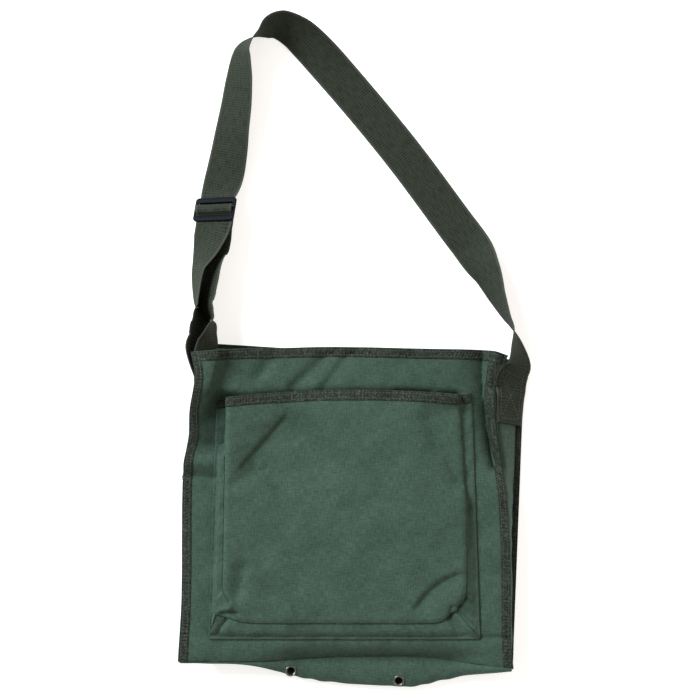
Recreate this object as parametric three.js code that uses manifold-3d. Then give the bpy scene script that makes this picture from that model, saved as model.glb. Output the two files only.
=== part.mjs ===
// A soft cloth shoulder bag lying on its back, with a bellows pocket on the front and a webbing strap.
// Millimetres. +X is to the right as seen from above, +Y runs toward the mouth and +Z is up.
// The origin is on the surface the bag lies on, under the middle of its bounding box.

import * as THREE from 'three';
import { mergeVertices } from 'three/addons/utils/BufferGeometryUtils.js';
import Module from 'manifold-3d';

const wasm = await Module();
wasm.setup();

// Driving dimensions
const CLOTH = 1.2;
const WEBBING = 1.4;
const GAP = 0.3;
const CORNER_GAP = 3.2;
const HEM = { width: 10, extra: 1.0, step: 0.003 };
const SEAM_WIDTH = 9;
const CUT = { panelWidth: 340, panelHeight: 335, pocketHeight: 240 };
const BACK = { width: 332, height: 325, turn: -2.2, cornerX: 181.8, cornerY: -14 };
const BACK_TOP = { flare: 6.2, lift: 7.5, share: 0.22 };
const FRONT_HEIGHT = 37;
const BOTTOM = { endShare: 0.004, rise: 2 };
const GUSSET = { drop: 6.5, lift: 5.5, lowest: 0.003, highest: 0.988, cornerShare: 0.1 };
const POCKET = { wallWidth: 4, inset: 1.2, endShare: 0.006 };
const STRAP_WIDTH = 41;
const STRAP_END = { lowest: 0.79, highest: 0.985, rows: 7, level: 0.52 };
const TAB = { width: 24, sewnFrom: -66, sewnTo: -54, slide: -6, neck: 7 };
const SLIDER = { width: 47.5, bar: 3, outerBar: 6.4, slot: 6, depth: 3, corner: 4, play: 1.4 };
const SLIDER_PLACE = { x: -150.8, y: 150.7, z: 18.9, heading: 1, tilt: 21, lean: 8 };
const RING = { inner: 42.2, wire: 2.2, slot: 6, depth: 2.6, corner: 2.5, y: -30, z: 25.4 };
const FRAME_EDGE = { bevel: 0.5, slotCorner: 0.8 };
const EYELET = { outer: 6.2, chamfer: 0.5, hole: 3.2, barrel: 3.9, washer: 4.7, plate: 0.8, rise: 1.8 };
const EYELET_DRILL = 12;
const EYELET_LEVEL = 0.24;

// Colours and finishes
const CLOTH_GREEN = { color: 0x44594f, roughness: 0.85, metalness: 0 };
const WEBBING_OLIVE = { color: 0x464d40, roughness: 0.9, metalness: 0 };
const BLACK_PLASTIC = { color: 0x1c2024, roughness: 0.4, metalness: 0 };
const STEEL = { color: 0xb4b6b2, roughness: 0.3, metalness: 1 };

// The front panel's four edges: v runs from the bottom fold (0) to the mouth (1), u from left to right
const FRONT_LEFT = [
  { v: 0.0, x: -189, z: 34 },
  { v: 0.2, x: -185, z: 35 },
  { v: 0.55, x: -184, z: 36 },
  { v: 0.65, x: -182, z: 37 },
  { v: 0.73, x: -177, z: 38 },
  { v: 0.81, x: -176, z: 40 },
  { v: 0.92, x: -170, z: 46 },
  { v: 1.0, x: -174, z: 47 },
];
const FRONT_RIGHT = [
  { v: 0.0, x: 167, z: 34 },
  { v: 0.1, x: 165, z: 36 },
  { v: 0.35, x: 164, z: 37 },
  { v: 0.56, x: 160, z: 38 },
  { v: 0.69, x: 153, z: 39 },
  { v: 0.8, x: 148, z: 40 },
  { v: 0.92, x: 149, z: 41 },
  { v: 1.0, x: 162, z: 41 },
];
const FRONT_TOP = [
  { u: 0.0, y: -2, z: 47 },
  { u: 0.14, y: 1, z: 41 },
  { u: 0.3, y: 2, z: 36 },
  { u: 0.45, y: 3, z: 34 },
  { u: 0.75, y: 1, z: 36 },
  { u: 0.95, y: -1, z: 39 },
  { u: 1.0, y: -6, z: 41 },
];
const FRONT_BOTTOM = [
  { u: 0.0, y: -333, z: 34 },
  { u: 0.2, y: -334, z: 28 },
  { u: 0.35, y: -329, z: 23 },
  { u: 0.5, y: -325, z: 21 },
  { u: 0.73, y: -324, z: 21 },
  { u: 0.88, y: -333, z: 26 },
  { u: 1.0, y: -338, z: 34 },
];

// How far each edge's own height is felt across the front panel
const EDGE_REACH = { left: 34, right: 34, top: 48, bottom: 30 };

// Folds in the front panel: a ridge (depth above 0) or a valley (below 0) along a straight line
const FRONT_FOLDS = [
  { fromX: -146, fromY: -11, toX: -168, toY: -110, width: 11, depth: -5 },
  { fromX: -180, fromY: -124, toX: -154, toY: -124, width: 8, depth: 2 },
  { fromX: -182, fromY: -143, toX: -154, toY: -147, width: 8, depth: -3 },
  { fromX: 114, fromY: -11, toX: 134, toY: -73, width: 12, depth: -4 },
  { fromX: -36, fromY: -11, toX: -56, toY: -38, width: 9, depth: -2 },
  { fromX: 76, fromY: -13, toX: 61, toY: -38, width: 9, depth: -2 },
  { fromX: 133, fromY: -304, toX: 165, toY: -306, width: 6, depth: -2 },
];

// How far the bottom panel bulges out in plan, and the pocket's outline on the panel and on its face
const BOTTOM_BULGE = [
  { u: 0.0, y: -338 },
  { u: 0.2, y: -342 },
  { u: 0.35, y: -353 },
  { u: 0.5, y: -360.5 },
  { u: 0.7, y: -364 },
  { u: 0.85, y: -351.5 },
  { u: 1.0, y: -344 },
];
const POCKET_SEAM = {
  topLeft: [-148, -52],
  topRight: [123, -45],
  lowLeft: [-156, -307],
  lowRight: [132, -307],
};
const POCKET_FACE = {
  topLeft: [-137, -50],
  topRight: [108, -47],
  lowLeft: [-141, -289],
  lowRight: [116, -289],
};
const MOUTH_ARCH = 6;
const FACE_SWELL_RIGHT = 4;
const FACE_HEIGHT = [
  { v: 0.0, left: 50, middle: 51, right: 50 },
  { v: 0.5, left: 50, middle: 52, right: 51 },
  { v: 0.85, left: 49, middle: 49, right: 51 },
  { v: 1.0, left: 47, middle: 45, right: 50 },
];
const FACE_FOLDS = [
  { fromX: -140, fromY: -147, toX: -67, toY: -61, width: 11, depth: -2 },
  { fromX: 69, fromY: -64, toX: 114, toY: -158, width: 14, depth: -2.5 },
  { fromX: 114, fromY: -236, toX: 61, toY: -281, width: 9, depth: -1.5 },
];

// The strap's route: the middle of the webbing, and its upper edge's heading in plan and tilt in degrees
const STRAP_DIAGONAL = [
  { x: 172, y: 8, z: 20.6, heading: 180, tilt: 72 },
  { x: 168, y: 24, z: 21.2, heading: 180, tilt: 90 },
  { x: 161.5, y: 36, z: 21.0, heading: 29, tilt: 82 },
  { x: 151.5, y: 58, z: 19.7, heading: 25, tilt: 67 },
  { x: 141, y: 84, z: 15.6, heading: 27, tilt: 46 },
  { x: 126, y: 110, z: 4.8, heading: 32, tilt: 11 },
  { x: 107, y: 136, z: 1.9, heading: 35, tilt: 0 },
  { x: 49, y: 214, z: 1.5, heading: 38, tilt: 0 },
  { x: -15, y: 291, z: 2.0, heading: 41, tilt: 0 },
];
const STRAP_PEAK = [
  { x: -50, y: 329, z: 8.2, heading: 48, tilt: 20 },
  { x: -64, y: 341, z: 12.4, heading: 54, tilt: 33 },
  { x: -82, y: 349, z: 16.3, heading: 68, tilt: 48 },
  { x: -94, y: 346, z: 19.8, heading: 100, tilt: 66 },
  { x: -104, y: 339, z: 21.4, heading: 120, tilt: 90 },
  { x: -114, y: 331, z: 20.9, heading: -40, tilt: 77 },
  { x: -121, y: 320, z: 19.2, heading: -15, tilt: 62 },
];
const STRAP_LEFT = [
  { x: -125, y: 290, z: 15.7, heading: 0, tilt: 45 },
  { x: -128, y: 264, z: 13.2, heading: -3, tilt: 36 },
  { x: -132, y: 239, z: 11.4, heading: -6, tilt: 29 },
  { x: -136, y: 213, z: 7.6, heading: -8, tilt: 18 },
  { x: -141, y: 188, z: 6, heading: -8, tilt: 9 },
];
const STRAP_OUTER_LAYER = [
  { x: -158, y: 117, z: 24, heading: 0, tilt: 36 },
  { x: -168, y: 90, z: 19.8, heading: 0, tilt: 67 },
  { x: -170.6, y: 62, z: 20.7, heading: 0, tilt: 77 },
  { x: -170.4, y: 48, z: 21, heading: 0, tilt: 83 },
  { x: -168.8, y: 40, z: 21.1, heading: 180, tilt: 86 },
  { x: -166.7, y: 33, z: 20.5, heading: 180, tilt: 74 },
  { x: -166.4, y: 26, z: 19.7, heading: 180, tilt: 65 },
  { x: -168.2, y: 15, z: 19.6, heading: 180, tilt: 63 },
  { x: -172, y: 3, z: 21.5, heading: 180, tilt: 66 },
];
const STRAP_INNER_LAYER = [
  { x: -158.5, y: 8, z: 22.2, heading: 180, tilt: 70 },
  { x: -156.3, y: 17, z: 22.5, heading: 180, tilt: 80 },
  { x: -155.2, y: 27, z: 24, heading: 180, tilt: 89 },
  { x: -155.2, y: 34, z: 24.4, heading: 0, tilt: 84 },
  { x: -156.6, y: 41, z: 24.4, heading: 0, tilt: 73 },
  { x: -159.4, y: 49, z: 23.2, heading: 0, tilt: 62 },
  { x: -160, y: 60, z: 21.6, heading: 0, tilt: 58 },
  { x: -155.5, y: 80, z: 19.6, heading: 0, tilt: 60 },
  { x: -154, y: 104, z: 15, heading: 0, tilt: 40 },
  { x: -152, y: 117, z: 18.4, heading: -1, tilt: 28 },
];

// The strap's turn back from the ring to the left wall, as places along the wall
const STRAP_RETURN = [-14, -5];

// Mesh resolution: cells of each wall, and the webbing's rows by their distance and their turn in degrees
const CELLS = { frontU: 26, frontV: 26, faceU: 18, faceV: 16, bottomU: 28, bottomS: 8, wall: 18, backTop: 4 };
const ROUND_CELLS = 16;
const WEBBING_ROWS = { across: 2, step: 9, turn: 14, most: 12 };
const CLOSING_TURNS = 12;
const SHARPEST_MITRE = 0.3;

const point = (x, y, z) => new THREE.Vector3(x, y, z);
const radians = THREE.MathUtils.degToRad;
const lerp = THREE.MathUtils.lerp;

// Evenly spaced values from one end to the other
function spaced(count, from = 0, to = 1) {
  return Array.from({ length: count + 1 }, (_, i) => lerp(from, to, i / count));
}

// A smooth curve through one column of a table, read against another column that only rises
function column(rows, key, name) {
  const slope = (i) => {
    const before = rows[Math.max(i - 1, 0)];
    const after = rows[Math.min(i + 1, rows.length - 1)];
    return (after[name] - before[name]) / (after[key] - before[key]);
  };
  return (at) => {
    let i = 0;
    while (i < rows.length - 2 && at > rows[i + 1][key]) i += 1;
    const span = rows[i + 1][key] - rows[i][key];
    const t = (at - rows[i][key]) / span;
    const rise = t * t * (3 - 2 * t);
    const start = t * (1 - t) * (1 - t) * span * slope(i);
    const end = t * t * (t - 1) * span * slope(i + 1);
    return lerp(rows[i][name], rows[i + 1][name], rise) + start + end;
  };
}

// The height that a table of straight folds adds at a place
function foldHeight(folds, x, y) {
  let height = 0;
  for (const fold of folds) {
    const runX = fold.toX - fold.fromX;
    const runY = fold.toY - fold.fromY;
    const along = ((x - fold.fromX) * runX + (y - fold.fromY) * runY) / (runX * runX + runY * runY);
    const nearest = THREE.MathUtils.clamp(along, 0, 1);
    const away = Math.hypot(x - fold.fromX - nearest * runX, y - fold.fromY - nearest * runY);
    height += fold.depth * Math.exp(-((away / fold.width) ** 2));
  }
  return height;
}

// A unit slab of box cells whose two broad faces are split along the same diagonals, so that a twist
// never makes them cross
function unitSlab(across, along) {
  const slab = new THREE.BoxGeometry(1, 1, 1, across, along, 1);
  const corners = slab.index.array;
  const under = slab.groups[5];
  for (let i = under.start; i < under.start + under.count; i += 6) {
    const [a, b, d, , c] = corners.slice(i, i + 6);
    corners.set([a, b, c, a, c, d], i);
  }
  return slab;
}

// A closed wall: a slab of box cells bent so that its middle follows a surface of two parameters
function bentSlab(uLines, vLines, middle, thickness) {
  const slab = unitSlab(uLines.length - 1, vLines.length - 1);
  const places = slab.attributes.position;
  for (let i = 0; i < places.count; i += 1) {
    const u = uLines[Math.round((places.getX(i) + 0.5) * (uLines.length - 1))];
    const v = vLines[Math.round((places.getY(i) + 0.5) * (vLines.length - 1))];
    const offset = places.getZ(i) * thickness(u, v);
    const place = middle(u, v).addScaledVector(normalAt(middle, u, v), offset);
    places.setXYZ(i, place.x, place.y, place.z);
  }
  return closedMesh(slab);
}

// The unit normal of a surface of two parameters, from small steps either way
function normalAt(middle, u, v) {
  const step = 1e-3;
  const alongU = middle(Math.min(u + step, 1), v).sub(middle(Math.max(u - step, 0), v));
  const alongV = middle(u, Math.min(v + step, 1)).sub(middle(u, Math.max(v - step, 0)));
  return alongU.cross(alongV).normalize();
}

// A geometry reduced to merged positions, so that it is one closed skin
function closedMesh(geometry) {
  const bare = geometry.clone();
  bare.deleteAttribute('normal');
  bare.deleteAttribute('uv');
  return mergeVertices(bare, 1e-4);
}

function solidOf(geometry) {
  const bare = closedMesh(geometry);
  const vertProperties = new Float32Array(bare.attributes.position.array);
  const triVerts = new Uint32Array(bare.index.array);
  return new wasm.Manifold(new wasm.Mesh({ numProp: 3, vertProperties, triVerts }));
}

function geometryOf(solid) {
  const mesh = solid.getMesh();
  const geometry = new THREE.BufferGeometry();
  geometry.setAttribute('position', new THREE.BufferAttribute(mesh.vertProperties, 3));
  geometry.setIndex(new THREE.BufferAttribute(mesh.triVerts, 1));
  return geometry;
}

const bag = new THREE.Group();

function addPiece(name, geometry, finish) {
  const mesh = new THREE.Mesh(geometry, new THREE.MeshStandardMaterial(finish));
  mesh.name = name;
  bag.add(mesh);
  return mesh;
}

// Front panel: plan outline from its four edges, height eased from each edge to the level middle
const leftX = column(FRONT_LEFT, 'v', 'x');
const leftZ = column(FRONT_LEFT, 'v', 'z');
const rightX = column(FRONT_RIGHT, 'v', 'x');
const rightZ = column(FRONT_RIGHT, 'v', 'z');
const topY = column(FRONT_TOP, 'u', 'y');
const topZ = column(FRONT_TOP, 'u', 'z');
const lowY = column(FRONT_BOTTOM, 'u', 'y');
const lowZ = column(FRONT_BOTTOM, 'u', 'z');
const eased = (distance, reach) => Math.max(0, 1 - distance / reach) ** 2;

function frontMiddle(u, v) {
  const x = lerp(leftX(v), rightX(v), u);
  const y = lerp(lowY(u), topY(u), v);
  const left = eased(u * (rightX(v) - leftX(v)), EDGE_REACH.left);
  const right = eased((1 - u) * (rightX(v) - leftX(v)), EDGE_REACH.right);
  const top = eased((1 - v) * (topY(u) - lowY(u)), EDGE_REACH.top);
  const low = eased(v * (topY(u) - lowY(u)), EDGE_REACH.bottom);
  const edges =
    left * (leftZ(v) - FRONT_HEIGHT) +
    right * (rightZ(v) - FRONT_HEIGHT) +
    top * (topZ(u) - FRONT_HEIGHT) +
    low * (lowZ(u) - FRONT_HEIGHT);
  const corners =
    left * top * (topZ(0) - FRONT_HEIGHT) +
    right * top * (topZ(1) - FRONT_HEIGHT) +
    left * low * (lowZ(0) - FRONT_HEIGHT) +
    right * low * (lowZ(1) - FRONT_HEIGHT);
  return point(x, y, FRONT_HEIGHT + edges - corners + foldHeight(FRONT_FOLDS, x, y));
}

// The front panel's height under a place in plan, by closing in on its two parameters
function frontHeight(x, y) {
  let u = 0.5;
  let v = 0.5;
  for (let turn = 0; turn < CLOSING_TURNS; turn += 1) {
    u = (x - leftX(v)) / (rightX(v) - leftX(v));
    v = (y - lowY(u)) / (topY(u) - lowY(u));
  }
  return frontMiddle(u, v).z;
}

const hemStart = 1 - HEM.width / CUT.panelHeight;
const withHem = (u, v) => CLOTH + (v > hemStart + 1e-6 ? HEM.extra : 0);
const seamShare = SEAM_WIDTH / CUT.panelWidth;
const frontColumns = [0, ...spaced(CELLS.frontU, seamShare, 1 - seamShare), 1];
const frontRows = [...spaced(CELLS.frontV, 0, hemStart), hemStart + HEM.step, 1];
addPiece('front_panel', bentSlab(frontColumns, frontRows, frontMiddle, withHem), CLOTH_GREEN);

// Back panel: a flat sheet on the surface, turned a little, its top corners drawn out by the strap's ends
const backRight = point(Math.cos(radians(BACK.turn)), Math.sin(radians(BACK.turn)), 0);
const backUp = point(-backRight.y, backRight.x, 0);

function backPoint(u, v, z) {
  const drawn = eased(1 - v, BACK_TOP.share);
  return point(BACK.cornerX, BACK.cornerY, z)
    .addScaledVector(backRight, (u - 1) * BACK.width + drawn * BACK_TOP.flare * u)
    .addScaledVector(backUp, (v - 1) * BACK.height + drawn * BACK_TOP.lift * (1 - u));
}

const backRows = [0, ...spaced(CELLS.backTop, 1 - BACK_TOP.share, 1)];
addPiece(
  'back_panel',
  bentSlab([0, 1], backRows, (u, v) => backPoint(u, v, CLOTH / 2), () => CLOTH),
  CLOTH_GREEN,
);

// Bottom panel: from the front's bottom edge, bulging out, round to the back's bottom edge
const bulgeY = column(BOTTOM_BULGE, 'u', 'y');

function bottomMiddle(u, s) {
  const outward = frontMiddle(u, 0).sub(frontMiddle(u, BOTTOM.endShare)).normalize();
  const start = frontMiddle(u, 0).addScaledVector(outward, 2 * GAP + CLOTH / 2);
  const end = backPoint(u, 0, CLOTH / 2).addScaledVector(backUp, -2 * GAP - CLOTH / 2);
  const reach = bulgeY(u) + (bulgeY(u) - (start.y + end.y) / 2) / 3;
  const upper = point(start.x, reach, start.z + BOTTOM.rise);
  const lower = point(end.x, reach, CLOTH / 2);
  return new THREE.CubicBezierCurve3(start, upper, lower, end).getPoint(s);
}

// Bottom panel's outer face looks along the cross product of s and u, so its parameters are swapped
const bottomWall = bentSlab(
  spaced(CELLS.bottomS),
  spaced(CELLS.bottomU, BOTTOM.endShare, 1 - BOTTOM.endShare),
  (s, u) => bottomMiddle(u, s),
  () => CLOTH,
);

// Eyelets: a turned metal ring through a hole in the bottom panel, square to its surface
const EYELETS = [
  { name: 'eyelet_left', u: 0.32 },
  { name: 'eyelet_right', u: 0.65 },
];

function eyeletProfile() {
  const reach = CLOTH / 2 + EYELET.rise;
  return [
    [EYELET.hole, -reach - EYELET.plate],
    [EYELET.washer, -reach - EYELET.plate],
    [EYELET.washer, -reach],
    [EYELET.barrel, -reach],
    [EYELET.barrel, reach],
    [EYELET.outer, reach],
    [EYELET.outer - EYELET.chamfer, reach + EYELET.plate],
    [EYELET.hole, reach + EYELET.plate],
    [EYELET.hole, -reach - EYELET.plate],
  ].map(([radius, height]) => new THREE.Vector2(radius, height));
}

let bottomSolid = solidOf(bottomWall);
for (const { name, u } of EYELETS) {
  const centre = bottomMiddle(u, EYELET_LEVEL);
  const outward = normalAt((s, w) => bottomMiddle(w, s), EYELET_LEVEL, u);
  const turn = new THREE.Quaternion().setFromUnitVectors(point(0, 1, 0), outward);
  const radius = EYELET.barrel + GAP;
  const hole = new THREE.CylinderGeometry(radius, radius, EYELET_DRILL, ROUND_CELLS);
  hole.applyQuaternion(turn).translate(centre.x, centre.y, centre.z);
  bottomSolid = bottomSolid.subtract(solidOf(hole));
  const eyelet = addPiece(name, closedMesh(new THREE.LatheGeometry(eyeletProfile(), ROUND_CELLS)), STEEL);
  eyelet.quaternion.copy(turn);
  eyelet.position.copy(centre);
}
addPiece('bottom_panel', geometryOf(bottomSolid), CLOTH_GREEN);

// Gussets: a pinched seam under the front panel, the wall itself, and a pinched seam over the back panel
const SIDES = {
  left: { sign: -1, edgeU: 0, upperInset: 7, lowerInset: 2, seamInset: 9 },
  right: { sign: 1, edgeU: 1, upperInset: -2.5, lowerInset: 7, seamInset: 9 },
};

function gussetSection(side, v) {
  const under = (u) => {
    const down = normalAt(frontMiddle, u, v).multiplyScalar(-(CLOTH + HEM.extra / 2 + 3 * GAP));
    return frontMiddle(u, v).add(down);
  };
  const edge = under(side.edgeU);
  const root = under(lerp(side.edgeU, 0.5, 2 * seamShare));
  const back = backPoint(side.edgeU, v, CLOTH * 1.5 + GAP);
  const shifted = (from, inset, lift) => point(from.x - side.sign * inset, from.y, from.z + lift);
  return [
    edge,
    root,
    shifted(edge, side.upperInset, -GUSSET.drop),
    shifted(back, side.lowerInset, GUSSET.lift),
    shifted(back, side.seamInset, 0),
    back,
  ];
}

// Near the bottom corner the gusset's end follows the bottom panel's end round
function gussetMiddle(side) {
  return (k, v) => {
    const section = gussetSection(side, v);
    const at = Math.min(Math.round(k * 5 * 1000) / 1000, 5);
    const i = Math.min(Math.floor(at), 4);
    const place = section[i].clone().lerp(section[i + 1], at - i);
    const nearCorner = eased(v, GUSSET.cornerShare);
    const straight = lerp(section[0].y, section[5].y, k);
    const seam = lerp(bottomMiddle(side.edgeU, k).y, straight, k) + CORNER_GAP;
    place.y = lerp(place.y, seam, nearCorner);
    return place;
  };
}

// A wall whose section is a bent line of few points keeps an even thickness by mitring each bend
function mitredSlab(sections, thickness) {
  const last = sections[0].length - 1;
  const slab = unitSlab(last, sections.length - 1);
  const places = slab.attributes.position;
  for (let i = 0; i < places.count; i += 1) {
    const k = Math.round((places.getX(i) + 0.5) * last);
    const row = Math.round((places.getY(i) + 0.5) * (sections.length - 1));
    const section = sections[row];
    const above = sections[Math.min(row + 1, sections.length - 1)][k];
    const below = sections[Math.max(row - 1, 0)][k];
    const along = above.clone().sub(below).normalize();
    const faces = [];
    if (k > 0) faces.push(section[k].clone().sub(section[k - 1]).cross(along).normalize());
    if (k < last) faces.push(section[k + 1].clone().sub(section[k]).cross(along).normalize());
    const mitre = faces.reduce((sum, face) => sum.add(face), point(0, 0, 0)).normalize();
    const stretch = 1 / Math.max(mitre.dot(faces[0]), SHARPEST_MITRE);
    const place = section[k].clone().addScaledVector(mitre, places.getZ(i) * thickness * stretch);
    places.setXYZ(i, place.x, place.y, place.z);
  }
  return closedMesh(slab);
}

function gussetWall(side) {
  const middle = gussetMiddle(side);
  const rows = [GUSSET.lowest, ...frontRows.slice(1, -1), GUSSET.highest];
  const sections = rows.map((v) => spaced(5).map((k) => middle(k, v)));
  return mitredSlab(sections, CLOTH);
}

addPiece('left_gusset', gussetWall(SIDES.left), CLOTH_GREEN);
addPiece('right_gusset', gussetWall(SIDES.right), CLOTH_GREEN);

// Pocket face: a sheet held off the panel, with an arched mouth at the top
const between = (corners, u, v) => {
  const low = corners.lowLeft.map((value, i) => lerp(value, corners.lowRight[i], u));
  const top = corners.topLeft.map((value, i) => lerp(value, corners.topRight[i], u));
  return low.map((value, i) => lerp(value, top[i], v));
};
const faceLeft = column(FACE_HEIGHT, 'v', 'left');
const faceMiddle = column(FACE_HEIGHT, 'v', 'middle');
const faceRight = column(FACE_HEIGHT, 'v', 'right');

function facePoint(u, v) {
  const [x, y] = between(POCKET_FACE, u, v);
  const arch = MOUTH_ARCH * 4 * u * (1 - u) * v * v;
  const swell = FACE_SWELL_RIGHT * u * 4 * v * (1 - v);
  const sides = lerp(faceLeft(v), faceRight(v), u);
  const bow = (faceMiddle(v) - (faceLeft(v) + faceRight(v)) / 2) * (1 - (2 * u - 1) ** 2);
  return point(x + swell, y + arch, sides + bow + foldHeight(FACE_FOLDS, x, y));
}

const faceHem = 1 - HEM.width / CUT.pocketHeight;
const faceThick = (u, v) => CLOTH + (v > faceHem + 1e-6 ? HEM.extra : 0);
const faceRows = [...spaced(CELLS.faceV, 0, faceHem), faceHem + HEM.step, 1];
addPiece('pocket_face', bentSlab(spaced(CELLS.faceU), faceRows, facePoint, faceThick), CLOTH_GREEN);

// Pocket sides: a seam strip on the panel, then a wall slanting up to the face's edge
const POCKET_SIDES = [
  { name: 'pocket_left_side', edge: (t) => [0, 1 - t] },
  { name: 'pocket_bottom_side', edge: (t) => [t, 0] },
  { name: 'pocket_right_side', edge: (t) => [1, t] },
];

function onPanel(x, y) {
  return point(x, y, frontHeight(x, y) + CLOTH + 4 * GAP);
}

function pocketSide({ edge }) {
  const sections = spaced(CELLS.wall, POCKET.endShare, 1 - POCKET.endShare).map((t) => {
    const [u, v] = edge(t);
    const [seamX, seamY] = between(POCKET_SEAM, u, v);
    const face = facePoint(u, v);
    const outward = point(seamX - face.x, seamY - face.y, 0);
    const share = POCKET.wallWidth / outward.length();
    const seam = onPanel(seamX, seamY);
    const root = onPanel(lerp(seamX, face.x, share), lerp(seamY, face.y, share));
    const rim = face.clone().addScaledVector(outward.normalize(), POCKET.inset);
    return [seam, root, root.clone().lerp(rim, 0.5), rim];
  });
  return mitredSlab(sections, CLOTH);
}

for (const side of POCKET_SIDES) addPiece(side.name, pocketSide(side), CLOTH_GREEN);

// The direction of the webbing's upper edge, from its heading in plan and its tilt
function acrossFrom({ heading, tilt }) {
  const flat = Math.cos(radians(tilt));
  const turn = radians(heading);
  return point(flat * Math.cos(turn), flat * Math.sin(turn), Math.sin(radians(tilt)));
}

const station = (row) => ({ place: point(row.x, row.y, row.z), across: acrossFrom(row) });

// Where the strap lies on the right gusset: level with the wall's flat stretch, a gap away from it
function onRightWall(v) {
  const [, , upper, lower] = gussetSection(SIDES.right, v);
  const across = upper.clone().sub(lower).normalize();
  const outward = point(across.z, 0, -across.x).normalize();
  const offset = CLOTH / 2 + 5 * GAP + WEBBING / 2;
  const place = upper.clone().lerp(lower, STRAP_END.level).addScaledVector(outward, offset);
  return { place, across };
}

// The slider's own directions: across the webbing, up along it, and out of its front. In plan its upward
// way leans to one side, and it falls as far as keeps it square to the way across
const sliderAcross = acrossFrom(SLIDER_PLACE);
const sliderLean = radians(SLIDER_PLACE.lean);
const sliderUp = point(Math.sin(sliderLean), Math.cos(sliderLean), 0);
sliderUp.z = -sliderUp.dot(sliderAcross) / sliderAcross.z;
sliderUp.normalize();
const sliderOut = sliderAcross.clone().cross(sliderUp);

function bySlider(along, lift) {
  const place = point(SLIDER_PLACE.x, SLIDER_PLACE.y, SLIDER_PLACE.z)
    .addScaledVector(sliderUp, along)
    .addScaledVector(sliderOut, lift);
  return { place, across: sliderAcross };
}

// The webbing behind the top bar, over the middle bar and behind the bottom bar
const halfDepth = SLIDER.depth / 2;
const layer = WEBBING + 1.5 * GAP;
const behind = -halfDepth - WEBBING / 2 - GAP;
const barEdge = SLIDER.bar / 2;
const slotEnd = barEdge + SLIDER.slot;
const turnRadius = Math.hypot(halfDepth, barEdge) + WEBBING / 2 + GAP;
const overBar = turnRadius + layer;
const slope = overBar * Math.SQRT1_2;
const outerBar = slotEnd + SLIDER.outerBar / 2;
const outerEdge = slotEnd + SLIDER.outerBar;
const WEAVE = { lead: 5, droop: 0.6, ease: 0.6, pass: 2.6, rise: 0.2 };
const THREADED = [
  { along: outerEdge + WEAVE.lead, lift: behind - WEAVE.droop },
  { along: outerBar, lift: behind - GAP / 3 },
  { along: slotEnd - WEAVE.ease, lift: behind },
  { along: slotEnd - WEAVE.pass, lift: 0 },
  { along: slope, lift: slope },
  { along: 0, lift: overBar },
  { along: -slope, lift: slope },
  { along: WEAVE.pass - slotEnd, lift: 0 },
  { along: WEAVE.ease - slotEnd, lift: behind },
  { along: -outerBar, lift: behind },
  { along: -outerEdge - WEAVE.lead, lift: behind + WEAVE.rise },
];

// The sewn end: under the bottom bar, round the middle bar and back under itself
const ROUND_BAR = [270, 315, 0, 45, 90, 135, 180].map((angle) => ({
  along: turnRadius * Math.cos(radians(angle)),
  lift: turnRadius * Math.sin(radians(angle)),
}));
const SEWN = { lead: 6, bend: 3, fold: 4.6, foldLift: 1.2, tail: 3 };
const SEWN_UNDER = [
  { along: -outerEdge - SEWN.lead, lift: behind - 2 * layer },
  { along: -outerBar, lift: behind - 2 * layer },
  { along: SEWN.bend - slotEnd, lift: behind - 1.7 * layer },
];
const SEWN_TAIL = [
  { along: SEWN.fold - slotEnd, lift: behind + SEWN.foldLift - layer / 2 },
  { along: -slotEnd, lift: behind - layer },
  { along: -outerBar, lift: behind - layer },
  { along: -outerEdge - SEWN.tail, lift: behind - layer },
];
const weave = (rows) => rows.map((row) => bySlider(row.along, row.lift));

// The left wall at a place in plan: a point level with the ring's middle, and its upward and outward ways
function onLeftWall(y) {
  const v = (y - lowY(0)) / (topY(0) - lowY(0));
  const [, , upper, lower] = gussetSection(SIDES.left, v);
  const across = upper.clone().sub(lower).setY(0).normalize();
  const out = point(-across.z, 0, across.x);
  const share = (RING.z - lower.z) / (upper.z - lower.z);
  return { place: lower.clone().lerp(upper, share).setY(y), across, out };
}

// A layer of webbing on the left wall, so far off its middle
function offLeftWall(y, offset, slide = 0) {
  const { place, across, out } = onLeftWall(y);
  return { place: place.addScaledVector(out, offset).addScaledVector(across, slide), across };
}

const TAB_OFFSET = CLOTH / 2 + 7 * GAP + WEBBING / 2;
const ringOffset = TAB_OFFSET + WEBBING / 2 + 2 * GAP + RING.depth / 2;
const { across: ringAcross, out: ringOut } = onLeftWall(RING.y);
const ringCentre = offLeftWall(RING.y, ringOffset).place;
const ringBar = (RING.slot + RING.wire) / 2;

// Half a turn of webbing round one of the ring's bars, from its outer side to its inner side
function roundRing(barY, away, slide = 0) {
  const radius = RING.depth / 2 + WEBBING / 2 + 2 * GAP;
  return [90, 45, 0, -45, -90].map((angle) => {
    const place = point(ringCentre.x, ringCentre.y + barY, ringCentre.z)
      .addScaledVector(ringAcross, slide)
      .addScaledVector(ringOut, radius * Math.sin(radians(angle)))
      .add(point(0, away * (radius + GAP) * Math.cos(radians(angle)), 0));
    return { place, across: ringAcross };
  });
}

// How many rows a span of webbing is cut into, from its length and from how far its edge turns
function rowsBetween(from, to) {
  const byLength = from.place.distanceTo(to.place) / WEBBING_ROWS.step;
  const byTurn = THREE.MathUtils.radToDeg(from.across.angleTo(to.across)) / WEBBING_ROWS.turn;
  return THREE.MathUtils.clamp(Math.round(Math.max(byLength, byTurn)), 1, WEBBING_ROWS.most);
}

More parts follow.
